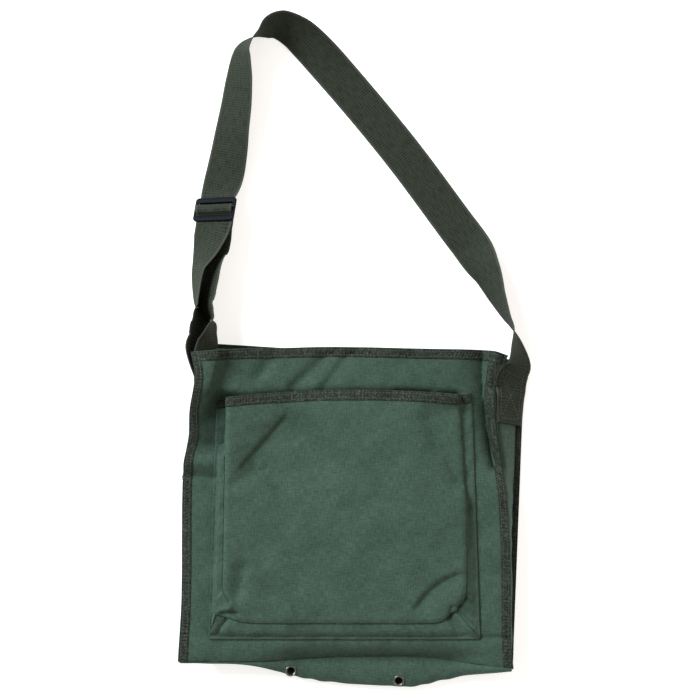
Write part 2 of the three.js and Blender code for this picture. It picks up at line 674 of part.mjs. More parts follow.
// A band of webbing through its stations: smooth in place and in the direction of its upper edge
function band(stations, width) {
  const route = new THREE.CatmullRomCurve3(stations.map((s) => s.place), false, 'centripetal');
  const edge = new THREE.CatmullRomCurve3(stations.map((s) => s.across), false, 'centripetal');
  const spans = stations.length - 1;
  const times = [0];
  for (let i = 0; i < spans; i += 1) {
    const rows = rowsBetween(stations[i], stations[i + 1]);
    for (let j = 1; j <= rows; j += 1) times.push((i + j / rows) / spans);
  }
  const slab = unitSlab(WEBBING_ROWS.across, times.length - 1);
  const places = slab.attributes.position;
  const step = 1e-4;
  for (let i = 0; i < places.count; i += 1) {
    const t = times[Math.round((places.getY(i) + 0.5) * (times.length - 1))];
    const before = route.getPoint(Math.max(t - step, 0));
    const ahead = route.getPoint(Math.min(t + step, 1)).sub(before).normalize();
    const across = edge.getPoint(t);
    across.addScaledVector(ahead, -across.dot(ahead)).normalize();
    const out = across.clone().cross(ahead);
    const place = route.getPoint(t)
      .addScaledVector(across, places.getX(i) * width)
      .addScaledVector(out, places.getZ(i) * WEBBING);
    places.setXYZ(i, place.x, place.y, place.z);
  }
  return closedMesh(slab);
}

const strapStations = [
  ...spaced(STRAP_END.rows, STRAP_END.lowest, STRAP_END.highest).map(onRightWall),
  ...STRAP_DIAGONAL.map(station),
  ...STRAP_PEAK.map(station),
  ...STRAP_LEFT.map(station),
  ...weave(THREADED),
  ...STRAP_OUTER_LAYER.map(station),
  ...roundRing(ringBar, -1),
  ...STRAP_RETURN.map((y) => offLeftWall(y, TAB_OFFSET)),
  ...STRAP_INNER_LAYER.map(station),
  ...weave([...SEWN_UNDER, ...ROUND_BAR, ...SEWN_TAIL]),
];
addPiece('shoulder_strap', band(strapStations, STRAP_WIDTH), WEBBING_OLIVE);

// Ring tab: sewn flat on the left gusset, up round the ring's lower bar and back over itself
const tabInner = (y) => offLeftWall(y, TAB_OFFSET, TAB.slide);
const tabOuter = (y) => offLeftWall(y, 2 * ringOffset - TAB_OFFSET, TAB.slide);
const tabTop = ringCentre.y - ringBar - TAB.neck;
const tabLoop = [
  ...[TAB.sewnFrom, TAB.sewnTo, tabTop].map(tabInner),
  ...roundRing(-ringBar, 1, TAB.slide).reverse(),
  ...[tabTop, TAB.sewnTo].map(tabOuter),
];
addPiece('ring_tab', band(tabLoop, TAB.width), WEBBING_OLIVE);

// A rounded rectangle about a centre, as a shape or a hole
function roundedRectangle(path, width, height, corner, centreY = 0) {
  const x = width / 2;
  const low = centreY - height / 2;
  const top = centreY + height / 2;
  path.moveTo(x - corner, low);
  path.absarc(x - corner, low + corner, corner, -Math.PI / 2, 0);
  path.absarc(x - corner, top - corner, corner, 0, Math.PI / 2);
  path.absarc(corner - x, top - corner, corner, Math.PI / 2, Math.PI);
  path.absarc(corner - x, low + corner, corner, Math.PI, Math.PI * 1.5);
  return path;
}

function barFrame(width, height, corner, depth, slots) {
  const outline = roundedRectangle(new THREE.Shape(), width, height, corner);
  const { bevel, slotCorner } = FRAME_EDGE;
  for (const { width: wide, height: high, y } of slots) {
    outline.holes.push(roundedRectangle(new THREE.Path(), wide, high, slotCorner, y));
  }
  const frame = new THREE.ExtrudeGeometry(outline, {
    depth: depth - 2 * bevel,
    bevelThickness: bevel,
    bevelSize: bevel,
    bevelOffset: -bevel,
    bevelSegments: 1,
    curveSegments: 3,
  });
  return closedMesh(frame.translate(0, 0, bevel - depth / 2));
}

// Strap slider: three bars, turned square to the webbing
const sliderHeight = 2 * outerEdge;
const sliderSlots = [-1, 1].map((way) => ({
  width: STRAP_WIDTH + SLIDER.play,
  height: SLIDER.slot,
  y: way * (barEdge + SLIDER.slot / 2),
}));
const slider = addPiece(
  'strap_slider',
  barFrame(SLIDER.width, sliderHeight, SLIDER.corner, SLIDER.depth, sliderSlots),
  BLACK_PLASTIC,
);
slider.position.set(SLIDER_PLACE.x, SLIDER_PLACE.y, SLIDER_PLACE.z);
const sliderTurn = new THREE.Matrix4().makeBasis(sliderAcross, sliderUp, sliderOut);
slider.quaternion.setFromRotationMatrix(sliderTurn);

// Strap ring: a plain rectangular ring leaning with the left gusset
const ring = addPiece(
  'strap_ring',
  barFrame(RING.inner + 2 * RING.wire, RING.slot + 2 * RING.wire, RING.corner, RING.depth, [
    { width: RING.inner, height: RING.slot, y: 0 },
  ]),
  BLACK_PLASTIC,
);
ring.position.copy(ringCentre);
const ringUp = point(0, 1, 0);
const ringTurn = new THREE.Matrix4().makeBasis(ringAcross, ringUp, ringAcross.clone().cross(ringUp));
ring.quaternion.setFromRotationMatrix(ringTurn);

export default bag;
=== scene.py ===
"""A soft fishing bag lying on its back: cloth walls, a gusseted pocket, a webbing strap, slider and eyelets.

Every surface is worked out in millimetres with numpy and put into its mesh in metres.
"""

import logging
import math
from dataclasses import dataclass
from enum import Enum
from typing import Callable, Sequence

import bpy
import numpy as np
from numpy.typing import NDArray
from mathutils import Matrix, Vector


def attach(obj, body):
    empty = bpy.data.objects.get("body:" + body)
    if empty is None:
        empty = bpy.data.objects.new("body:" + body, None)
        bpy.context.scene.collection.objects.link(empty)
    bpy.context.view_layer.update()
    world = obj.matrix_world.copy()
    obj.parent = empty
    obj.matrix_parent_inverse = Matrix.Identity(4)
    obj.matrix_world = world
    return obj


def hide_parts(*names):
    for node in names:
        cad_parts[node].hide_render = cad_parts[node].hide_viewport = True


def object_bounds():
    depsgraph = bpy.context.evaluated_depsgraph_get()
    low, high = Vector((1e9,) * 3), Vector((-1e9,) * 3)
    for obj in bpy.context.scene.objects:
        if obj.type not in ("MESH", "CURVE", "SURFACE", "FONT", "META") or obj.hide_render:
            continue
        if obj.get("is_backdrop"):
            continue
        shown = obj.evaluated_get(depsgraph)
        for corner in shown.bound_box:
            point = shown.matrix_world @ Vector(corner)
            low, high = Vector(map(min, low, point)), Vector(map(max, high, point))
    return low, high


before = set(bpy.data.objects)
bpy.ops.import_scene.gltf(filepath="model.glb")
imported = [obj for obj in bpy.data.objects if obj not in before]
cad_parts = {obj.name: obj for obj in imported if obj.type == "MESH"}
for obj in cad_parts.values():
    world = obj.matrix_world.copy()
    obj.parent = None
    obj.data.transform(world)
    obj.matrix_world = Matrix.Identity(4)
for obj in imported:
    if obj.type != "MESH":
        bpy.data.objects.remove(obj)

CAD_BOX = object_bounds()
LOG = logging.getLogger("fishing_bag")

Array = NDArray[np.float64]
Surface = Callable[[Array, Array], Array]
Pair = tuple[float, float]

# Sizes are in millimetres; MM turns them into metres
MM = 0.001
CLOTH = 1.2
WEBBING = 1.4
GAP = 0.3
SEAM = 9.0
HEM = 10.0
HEM_LIFT = CLOTH / 2 + 0.5
ROLLED_RIM = 0.7
STRAP_WIDTH = 41.0
TAB_WIDTH = 24.0
PANEL_CUT = (340.0, 335.0)
POCKET_CUT = (250.0, 240.0)
FLAT_MAP = "flat"


def through(table: Sequence[Pair], at: Array) -> Array:
    """Read a smooth curve through a table.

    Between two rows the value is a cubic whose end slopes are the slopes from each row's neighbour to
    neighbour.

    Args:
        table: Rows of a rising key and its value.
        at: Keys to read at.

    Returns:
        The curve's value at each key.
    """
    key, value = np.array(table, float).T
    row = np.arange(len(key))
    after, before = np.minimum(row + 1, len(key) - 1), np.maximum(row - 1, 0)
    slope = (value[after] - value[before]) / (key[after] - key[before])
    i = np.clip(np.searchsorted(key, at) - 1, 0, len(key) - 2)
    span = key[i + 1] - key[i]
    t = (at - key[i]) / span
    rise = t * t * (3 - 2 * t)
    bend = t * (1 - t) ** 2 * slope[i] + t * t * (t - 1) * slope[i + 1]
    return value[i] + (value[i + 1] - value[i]) * rise + span * bend


def mix(a: Array | float, b: Array | float, share: Array | float) -> Array:
    """Go from a to b by a share."""
    return a + (b - a) * share


def unit(vectors: Array) -> Array:
    """Scale vectors to length one."""
    return vectors / np.maximum(np.linalg.norm(vectors, axis=-1, keepdims=True), 1e-12)


def grid_normals(points: Array) -> Array:
    """Find the unit normals of a grid of points from its neighbours."""
    return unit(np.cross(np.gradient(points, axis=1), np.gradient(points, axis=0)))


def running_length(line: Array) -> Array:
    """Measure how far along a line each of its points lies."""
    return np.concatenate([[0.0], np.cumsum(np.linalg.norm(np.diff(line, axis=0), axis=1))])


def flat_map(u: Array, v: Array, size: Pair) -> Array:
    """Scale two shares to places on a flat cut of a size."""
    return np.stack([u * size[0], v * size[1]], axis=-1)


def eased(distance: Array, reach: float) -> Array:
    """Fall from one at no distance to nothing at the reach, as a parabola."""
    return np.maximum(0.0, 1.0 - distance / reach) ** 2


def vector(x: Array | float, y: Array | float, z: Array | float) -> Array:
    """Join three coordinates of any matching shapes into points."""
    return np.stack(np.broadcast_arrays(np.asarray(x, float), y, z), axis=-1)


def normal_at(surface: Surface, u: Array, v: Array) -> Array:
    """Find a surface's unit normals from small steps either way in its two parameters."""
    step = 1e-3
    along_u = surface(np.minimum(u + step, 1.0), v) - surface(np.maximum(u - step, 0.0), v)
    along_v = surface(u, np.minimum(v + step, 1.0)) - surface(u, np.maximum(v - step, 0.0))
    return unit(np.cross(along_u, along_v))


def rounded_line(line: Array, k: Array, spread: float) -> Array:
    """Read bent lines of points with their bends rounded.

    Each place is the mean of seven nearby places on the bent line. They draw together towards both ends.

    Args:
        line: Turning points, the turn first, then the shape of k.
        k: Shares from the first turning point to the last.
        spread: How far the places reach either way, counted in turning points.

    Returns:
        Places on the lines.
    """
    last, here = len(line) - 1, np.indices(k.shape)
    total = np.zeros((*k.shape, 3))
    for offset in np.linspace(-spread, spread, 7):
        at = np.clip(k * last + offset * np.minimum(1, 4 * last * np.minimum(k, 1 - k)), 0, last)
        i = np.minimum(at.astype(int), last - 1)
        total += mix(line[(i, *here)], line[(i + 1, *here)], (at - i)[..., None])
    return total / 7


def unevenness(x: Array, y: Array, depth: float, longest: float = 64.0) -> Array:
    """Give slack cloth its gentle lumps.

    The sum of nine sine waves whose headings step by the golden angle, each shorter and lower than the
    one before.

    Args:
        x: Places across, in millimetres.
        y: Places along, in millimetres.
        depth: Height of the first wave.
        longest: Length of the first wave.

    Returns:
        The height to add at each place.
    """
    order = np.arange(9)
    length = longest * 0.8 ** order
    heading = 2.39996 * order
    reach = x[..., None] * np.cos(heading) + y[..., None] * np.sin(heading)
    return depth * np.sum(0.82 ** order * np.sin(2 * np.pi * reach / length + 1.7 * order), axis=-1)


@dataclass(frozen=True)
class Fold:
    """A ridge or valley along a line in plan: depth times exp of minus (distance over width) to a power.

    The width runs from width to end_width along the line, and is multiplied by far_side on the side to the
    right of the way it runs. The bow moves the line's middle to the left. With a fade, the depth grows from
    nothing over that share of the line at each end.
    """

    start: Pair
    end: Pair
    width: float
    depth: float
    end_width: float = 0.0
    far_side: float = 1.0
    bow: float = 0.0
    sharp: float = 2.0
    fade: float = 0.0

    def height(self, x: Array, y: Array) -> Array:
        """Work out the height that the fold adds.

        Args:
            x: Places across, in millimetres.
            y: Places along, in millimetres.

        Returns:
            The height at each place.
        """
        t = np.linspace(0.0, 1.0, 9 if self.bow else 2)[:, None]
        start, run = np.array(self.start), np.subtract(self.end, self.start)
        left = np.array([-run[1], run[0]]) / np.hypot(*run)
        line = start + run * t + left * self.bow * 4 * t * (1 - t)
        nearest, side, reached = np.full(x.shape, np.inf), np.zeros(x.shape), np.zeros(x.shape)
        for i, (a, b) in enumerate(zip(line[:-1], line[1:])):
            step = b - a
            share = np.clip(((x - a[0]) * step[0] + (y - a[1]) * step[1]) / (step @ step), 0.0, 1.0)
            dx, dy = x - a[0] - share * step[0], y - a[1] - share * step[1]
            away = np.hypot(dx, dy)
            closer = away < nearest
            nearest = np.where(closer, away, nearest)
            side = np.where(closer, step[0] * dy - step[1] * dx, side)
            reached = np.where(closer, (i + share) / (len(line) - 1), reached)
        width = mix(self.width, self.end_width or self.width, reached)
        width = width * np.where(side < 0, self.far_side, 1.0)
        from_end = np.minimum(reached, 1 - reached)
        grown = np.clip(from_end / self.fade, 0.0, 1.0) if self.fade else 1.0
        return self.depth * grown * grown * (3 - 2 * grown) * np.exp(-((nearest / width) ** self.sharp))


def folded(folds: Sequence[Fold], x: Array, y: Array) -> Array:
    """Add up the heights of several folds."""
    return sum((fold.height(x, y) for fold in folds), np.zeros(x.shape))


@dataclass(frozen=True)
class Pull:
    """A place where cloth is drawn aside: its move times exp of minus (distance over reach) squared."""

    at: Pair
    move: Pair
    reach: float


def pulled(pulls: Sequence[Pull], x: Array, y: Array) -> tuple[Array, Array]:
    """Draw places in plan aside by every pull, each worked out from where they lay."""
    share = [np.exp(-((x - pull.at[0]) ** 2 + (y - pull.at[1]) ** 2) / pull.reach ** 2) for pull in pulls]
    return tuple(start + sum(part * pull.move[i] for part, pull in zip(share, pulls))
                 for i, start in enumerate((x, y)))


@dataclass
class Skin:
    """A closed skin: places in millimetres, faces of four corners, and each place on the flat cut."""

    places: Array
    faces: NDArray[np.int64]
    flat: Array


def joined(skins: Sequence[Skin]) -> Skin:
    """Join several skins into one."""
    starts = np.cumsum([0] + [len(skin.places) for skin in skins[:-1]])
    return Skin(
        np.concatenate([skin.places for skin in skins]),
        np.concatenate([skin.faces + start for skin, start in zip(skins, starts)]),
        np.concatenate([skin.flat for skin in skins]),
    )


def quads_of(rows: int, columns: int) -> NDArray[np.int64]:
    """List a grid's cells, corners counted round each cell."""
    index = np.arange(rows * columns).reshape(rows, columns)
    return np.stack([index[:-1, :-1], index[:-1, 1:], index[1:, 1:], index[1:, :-1]], axis=-1)


def slab(middle: Array, flat: Array, thickness: Array | float = CLOTH, keep: Array | None = None) -> Skin:
    """Give a grid of points a thickness and a rounded rim.

    Both faces stand half the thickness off the middle along its normals. Each border is closed by a row of
    points pushed a little outwards, so that the cut edge looks rolled.

    Args:
        middle: Grid of points, rows by columns by three.
        flat: The same grid on the flat cut, rows by columns by two.
        thickness: Cloth thickness, one number or one for each point.
        keep: Which cells are kept, where the sheet has holes.

    Returns:
        The closed skin.
    """
    rows, columns = middle.shape[:2]
    normal = grid_normals(middle).reshape(-1, 3)
    cells = quads_of(rows, columns)
    cells = cells.reshape(-1, 4) if keep is None else cells[keep]
    place = middle.reshape(-1, 3)
    sides = np.concatenate([cells[:, [i, (i + 1) % 4]] for i in range(4)])
    _, which, count = np.unique(np.sort(sides, axis=1), axis=0, return_inverse=True, return_counts=True)
    rim = sides[count[which.ravel()] == 1]
    outward = np.zeros_like(place)
    push = unit(np.cross(place[rim[:, 1]] - place[rim[:, 0]], normal[rim[:, 0]]))
    np.add.at(outward, rim[:, 0], push)
    np.add.at(outward, rim[:, 1], push)
    half = np.broadcast_to(thickness, middle.shape[:2]).reshape(-1, 1) / 2
    size = len(place)
    places = np.concatenate([place + normal * half, place - normal * half,
                             place + unit(outward) * half * ROLLED_RIM])
    a, b = rim.T
    faces = np.concatenate([
        cells,
        cells[:, ::-1] + size,
        np.stack([b, a, a + 2 * size, b + 2 * size], axis=-1),
        np.stack([b + 2 * size, a + 2 * size, a + size, b + size], axis=-1),
    ])
    used, faces = np.unique(faces, return_inverse=True)
    return Skin(places[used], faces.reshape(-1, 4), np.tile(flat.reshape(-1, 2), (3, 1))[used])


def grid(columns: int, rows: int, u_ends: Pair = (0.0, 1.0),
         v_ends: Pair = (0.0, 1.0)) -> tuple[Array, Array]:
    """Spread two parameters evenly over a grid, the first over its columns and the second over its rows."""
    return np.meshgrid(np.linspace(*u_ends, columns), np.linspace(*v_ends, rows))


def tube(profile: Array, flat_size: Pair = (1.0, 1.0)) -> Skin:
    """Close a grid of points both ways, as a ring-shaped skin.

    Args:
        profile: Grid of points, steps along the path by points round the section by three.
        flat_size: Size of the flat map, in millimetres.

    Returns:
        The closed skin.
    """
    rows, columns = profile.shape[:2]
    index = np.arange(rows * columns).reshape(rows, columns)
    across, along = np.roll(index, -1, axis=1), np.roll(index, -1, axis=0)
    faces = np.stack([index, across, np.roll(across, -1, axis=0), along], axis=-1).reshape(-1, 4)
    u, v = grid(columns, rows, (0.0, flat_size[0]), (0.0, flat_size[1]))
    return Skin(profile.reshape(-1, 3), faces, np.stack([u, v], axis=-1).reshape(-1, 2))


def rod(profile: Array) -> Skin:
    """Close a grid of points round its section, and close both ends with a fan of cells to their middles."""
    rows, columns = profile.shape[:2]
    ends = np.broadcast_to(profile[[0, -1]].mean(axis=1, keepdims=True), (2, columns, 3))
    skin = tube(np.concatenate([ends[:1], profile, ends[1:]]), (columns, rows))
    return Skin(skin.places, skin.faces[: (rows + 1) * columns], skin.flat)


def add_piece(name: str, skin: Skin, material: bpy.types.Material,
              nodes: Sequence[str] = (), sharp: float = 55.0) -> bpy.types.Object:
    """Put a skin into the scene as a piece that rides on the bag.

    Args:
        name: The piece's name.
        skin: Its closed skin.
        material: Its finish.
        nodes: CAD nodes that the piece stands for.
        sharp: Edges that turn by more than this many degrees stay crisp.

    Returns:
        The new object.
    """
    mesh = bpy.data.meshes.new(name)
    count = len(skin.faces)
    mesh.vertices.add(len(skin.places))
    mesh.vertices.foreach_set("co", (skin.places * MM).astype(np.float32).ravel())
    mesh.loops.add(4 * count)
    mesh.loops.foreach_set("vertex_index", skin.faces.astype(np.int32).ravel())
    mesh.polygons.add(count)
    mesh.polygons.foreach_set("loop_start", np.arange(0, 4 * count, 4, dtype=np.int32))
    mesh.polygons.foreach_set("use_smooth", np.ones(count, bool))
    mesh.update(calc_edges=True)
    flat = mesh.uv_layers.new(name=FLAT_MAP)
    flat.data.foreach_set("uv", (skin.flat[skin.faces.ravel()] * MM).astype(np.float32).ravel())
    mesh.validate()
    mesh.set_sharp_from_angle(angle=math.radians(sharp))
    mesh.materials.append(material)
    piece = bpy.data.objects.new(name, mesh)
    bpy.context.scene.collection.objects.link(piece)
    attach(piece, "root")
    if nodes:
        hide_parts(*nodes)
    LOG.info("%s: %d faces", name, count)
    return piece


def hex_colour(code: str) -> tuple[float, float, float, float]:
    """Turn an sRGB hex colour into linear light with full opacity."""
    parts = np.array([int(code[i:i + 2], 16) for i in (1, 3, 5)]) / 255
    linear = np.where(parts <= 0.04045, parts / 12.92, ((parts + 0.055) / 1.055) ** 2.4)
    return (*(float(part) for part in linear), 1.0)


def add_node(tree: bpy.types.NodeTree, kind: str, links: dict | None = None,
             **settings: object) -> bpy.types.Node:
    """Add a node to a tree.

    Args:
        tree: The material's node tree.
        kind: The node's type name.
        links: For each input, by name or number, the output it comes from or the value it holds.
        settings: The node's own settings.

    Returns:
        The new node.
    """
    node = tree.nodes.new(kind)
    for name, value in settings.items():
        setattr(node, name, value)
    for name, value in (links or {}).items():
        if isinstance(value, bpy.types.NodeSocket):
            tree.links.new(value, node.inputs[name])
        else:
            node.inputs[name].default_value = value
    return node


def new_material(name: str) -> tuple[bpy.types.Material, bpy.types.NodeTree, bpy.types.Node]:
    """Start a material, and give its tree and its main shader."""
    material = bpy.data.materials.new(name)
    material.use_nodes = True
    return material, material.node_tree, material.node_tree.nodes["Principled BSDF"]


def set_inputs(shader: bpy.types.Node, values: dict) -> None:
    """Set a shader's own sockets to values that are the same all over."""
    for name, value in values.items():
        shader.inputs[name].default_value = value


def object_noise(tree: bpy.types.NodeTree, size: float, detail: float = 2.0,
                 rough: float = 0.5) -> bpy.types.NodeSocket:
    """Add noise fixed to the object, of a size in millimetres."""
    place = add_node(tree, "ShaderNodeTexCoord").outputs["Object"]
    return add_node(tree, "ShaderNodeTexNoise", {"Vector": place, "Scale": 1 / (size * MM), "Detail": detail,
                                                 "Roughness": rough}).outputs[0]


def math_node(tree: bpy.types.NodeTree, operation: str, *values: object) -> bpy.types.NodeSocket:
    """Add a sum on sockets or numbers."""
    return add_node(tree, "ShaderNodeMath", dict(enumerate(values)), operation=operation).outputs[0]


def ramp(tree: bpy.types.NodeTree, value: bpy.types.NodeSocket,
         stops: Sequence[tuple[float, str]]) -> bpy.types.NodeSocket:
    """Turn a value into a colour by rising stops of a place and a hex colour."""
    node = add_node(tree, "ShaderNodeValToRGB", {"Fac": value})
    elements = node.color_ramp.elements
    for i, (place, code) in enumerate(stops):
        stop = elements[i] if i < len(elements) else elements.new(place)
        stop.position, stop.color = place, hex_colour(code)
    return node.outputs["Color"]


def paint(tree: bpy.types.NodeTree, shader: bpy.types.Node, share: bpy.types.NodeSocket,
          first: object, second: object) -> None:
    """Mix two colours by a share into the shader's base colour."""
    colour = add_node(tree, "ShaderNodeMix", {"Factor": share, 6: first, 7: second}, data_type="RGBA")
    tree.links.new(colour.outputs[2], shader.inputs["Base Color"])


def emboss(tree: bpy.types.NodeTree, shader: bpy.types.Node, height: bpy.types.NodeSocket,
           strength: float, depth: float) -> None:
    """Give the shader bump from a height, of a strength and a depth in metres."""
    bump = add_node(tree, "ShaderNodeBump", {"Height": height, "Strength": strength, "Distance": depth})
    tree.links.new(bump.outputs["Normal"], shader.inputs["Normal"])


def roughen(tree: bpy.types.NodeTree, shader: bpy.types.Node, value: bpy.types.NodeSocket,
            least: float, most: float) -> None:
    """Spread the shader's roughness over a range by a value."""
    rough = add_node(tree, "ShaderNodeMapRange", {"Value": value, "To Min": least, "To Max": most})
    tree.links.new(rough.outputs[0], shader.inputs["Roughness"])


@dataclass(frozen=True)
class OxfordCloth:
    """Coated polyester oxford cloth: plain weave, matt, with uneven yarns and a faint cool sheen."""

    name: str
    shade: str
    lit: str
    worn: str
    yarn: float = 1.3
    slub: float = 7.0
    mottle: float = 30.0
    relief: float = 0.00045
    contrast: float = 0.75
    sheen: str = "#C4E2E4"

    def make(self) -> bpy.types.Material:
        """Build the finish: uneven yarns both ways, patchy colour, and a fine weave under both.

        Returns:
            The material.
        """
        material, tree, shader = new_material(self.name)
        flat = add_node(tree, "ShaderNodeUVMap", uv_map=FLAT_MAP).outputs["UV"]
        yarn, slub = 1 / (self.yarn * MM), 1 / (self.slub * MM)
        # Warp and weft: noise drawn out along each yarn, at twice the real pitch so that it shows
        threads = []
        for scale in ((yarn, slub, 1.0), (slub, yarn, 1.0)):
            drawn = add_node(tree, "ShaderNodeMapping", {"Vector": flat, "Scale": scale}).outputs[0]
            noise = add_node(tree, "ShaderNodeTexNoise", {"Vector": drawn, "Scale": 1.0, "Detail": 1.0})
            threads.append(noise.outputs[0])
        weave = math_node(tree, "ADD", *threads)
        patches = object_noise(tree, self.mottle, detail=4.0, rough=0.6)
        tone = math_node(tree, "MULTIPLY_ADD", weave, self.contrast, 0.2 - self.contrast)
        tone = math_node(tree, "MULTIPLY_ADD", patches, 0.6, tone)
        colour = ramp(tree, tone, ((0.12, self.shade), (0.55, self.lit), (0.95, self.worn)))
        tree.links.new(colour, shader.inputs["Base Color"])
        emboss(tree, shader, weave, strength=0.55, depth=self.relief)
        roughen(tree, shader, patches, least=0.68, most=0.86)
        set_inputs(shader, {"Specular IOR Level": 0.2, "Sheen Weight": 0.05, "Sheen Roughness": 0.5,
                            "Sheen Tint": hex_colour(self.sheen)})
        return material


@dataclass(frozen=True)
class StrapWebbing:
    """Woven polypropylene webbing: ribs across its width, matt, with a paler selvage along each edge."""

    name: str = "polypropylene_webbing"
    body: str = "#373D34"
    hollow: str = "#21251E"
    selvage: str = "#434942"
    rib: float = 2.6
    yarn: Pair = (1.6, 9.0)
    edge: Pair = (2.4, 1.2)
    relief: float = 0.0006
    half_width: float = STRAP_WIDTH / 2

    def make(self) -> bpy.types.Material:
        """Build the finish: ribs from a wave along the band, broken up by noise, and pale edges.

        Returns:
            The material.
        """
        material, tree, shader = new_material(self.name)
        flat = add_node(tree, "ShaderNodeUVMap", uv_map=FLAT_MAP).outputs["UV"]
        # A wave texture repeats every pi / 10 over its scale; ribs are at twice the real pitch to show
        ribs = add_node(tree, "ShaderNodeTexWave",
                        {"Vector": flat, "Scale": math.pi / 10 / (self.rib * MM), "Distortion": 1.6,
                         "Detail": 2.0, "Detail Scale": 1.5},
                        bands_direction="Y")
        scale = (1 / (self.yarn[0] * MM), 1 / (self.yarn[1] * MM), 1.0)
        drawn = add_node(tree, "ShaderNodeMapping", {"Vector": flat, "Scale": scale}).outputs[0]
        yarns = add_node(tree, "ShaderNodeTexNoise", {"Vector": drawn, "Scale": 1.0, "Detail": 2.0})
        weave = math_node(tree, "MULTIPLY_ADD", ribs.outputs["Fac"], 0.3, yarns.outputs[0])
        tone = ramp(tree, weave, ((0.34, self.hollow), (0.76, self.body)))
        across = add_node(tree, "ShaderNodeSeparateXYZ", {0: flat})
        reach = math_node(tree, "ABSOLUTE", across.outputs["X"])
        inner, outer = ((self.half_width - inset) * MM for inset in self.edge)
        edge = add_node(tree, "ShaderNodeMapRange", {"Value": reach, "From Min": inner, "From Max": outer})
        paint(tree, shader, edge.outputs[0], tone, hex_colour(self.selvage))
        emboss(tree, shader, weave, strength=0.6, depth=self.relief)
        set_inputs(shader, {"Roughness": 0.85, "Specular IOR Level": 0.1})
        return material


@dataclass(frozen=True)
class MouldedPlastic:
    """Black moulded acetal: smooth with a faint spark-eroded grain and a soft blue-grey gloss."""

    name: str = "moulded_acetal"
    body: str = "#0B0D13"
    rubbed: str = "#151821"
    grain: float = 0.5
    patch: float = 100 / 9

    def make(self) -> bpy.types.Material:
        """Build the finish: fine grain in the bump, rubbed patches in the colour."""
        material, tree, shader = new_material(self.name)
        rubbed = object_noise(tree, self.patch, detail=3.0)
        paint(tree, shader, rubbed, hex_colour(self.body), hex_colour(self.rubbed))
        emboss(tree, shader, object_noise(tree, self.grain), strength=0.2, depth=0.0001)
        roughen(tree, shader, rubbed, least=0.45, most=0.6)
        set_inputs(shader, {"Specular IOR Level": 0.06})
        return material


@dataclass(frozen=True)
class EyeletSteel:
    """Pressed and plated steel: bright where it is rolled, dulled by fine rubbing marks."""

    name: str = "plated_steel"
    bright: str = "#94958F"
    dull: str = "#5E5E58"
    mark: float = 1.2

    def make(self) -> bpy.types.Material:
        """Build the finish: patchy brightness and roughness."""
        material, tree, shader = new_material(self.name)
        marks = object_noise(tree, self.mark, detail=4.0)
        paint(tree, shader, marks, hex_colour(self.bright), hex_colour(self.dull))
        roughen(tree, shader, marks, least=0.22, most=0.5)
        set_inputs(shader, {"Metallic": 1.0})
        return material


@dataclass(frozen=True)
class SewingThread:
    """Bonded polyester thread: a shade paler than the cloth, with a slight twist and lustre."""

    name: str = "bonded_polyester_thread"
    pale: str = "#4E5A51"
    deep: str = "#323B34"
    twist: float = 0.8

    def make(self) -> bpy.types.Material:
        """Build the finish: a fine mottled twist in colour and bump."""
        material, tree, shader = new_material(self.name)
        twist = object_noise(tree, self.twist)
        paint(tree, shader, twist, hex_colour(self.deep), hex_colour(self.pale))
        emboss(tree, shader, twist, strength=0.3, depth=0.0002)
        set_inputs(shader, {"Roughness": 0.55})
        return material


@dataclass
class Finishes:
    """The bag's finishes, each made once."""

    cloth: bpy.types.Material
    hem: bpy.types.Material
    webbing: bpy.types.Material
    tab: bpy.types.Material
    plastic: bpy.types.Material
    steel: bpy.types.Material
    thread: bpy.types.Material

    @classmethod
    def make(cls) -> "Finishes":
        """Make every finish."""
        return cls(
            cloth=OxfordCloth("oxford_cloth", shade="#2D4036", lit="#3D5248", worn="#4D6156").make(),
            hem=OxfordCloth("oxford_cloth_doubled", shade="#1B201C", lit="#2B322C", worn="#474E45",
                            yarn=2.0, slub=4.0, contrast=1.2).make(),
            webbing=StrapWebbing().make(),
            tab=StrapWebbing(name="polypropylene_tab_webbing", half_width=TAB_WIDTH / 2).make(),
            plastic=MouldedPlastic().make(),
            steel=EyeletSteel().make(),
            thread=SewingThread().make(),
        )


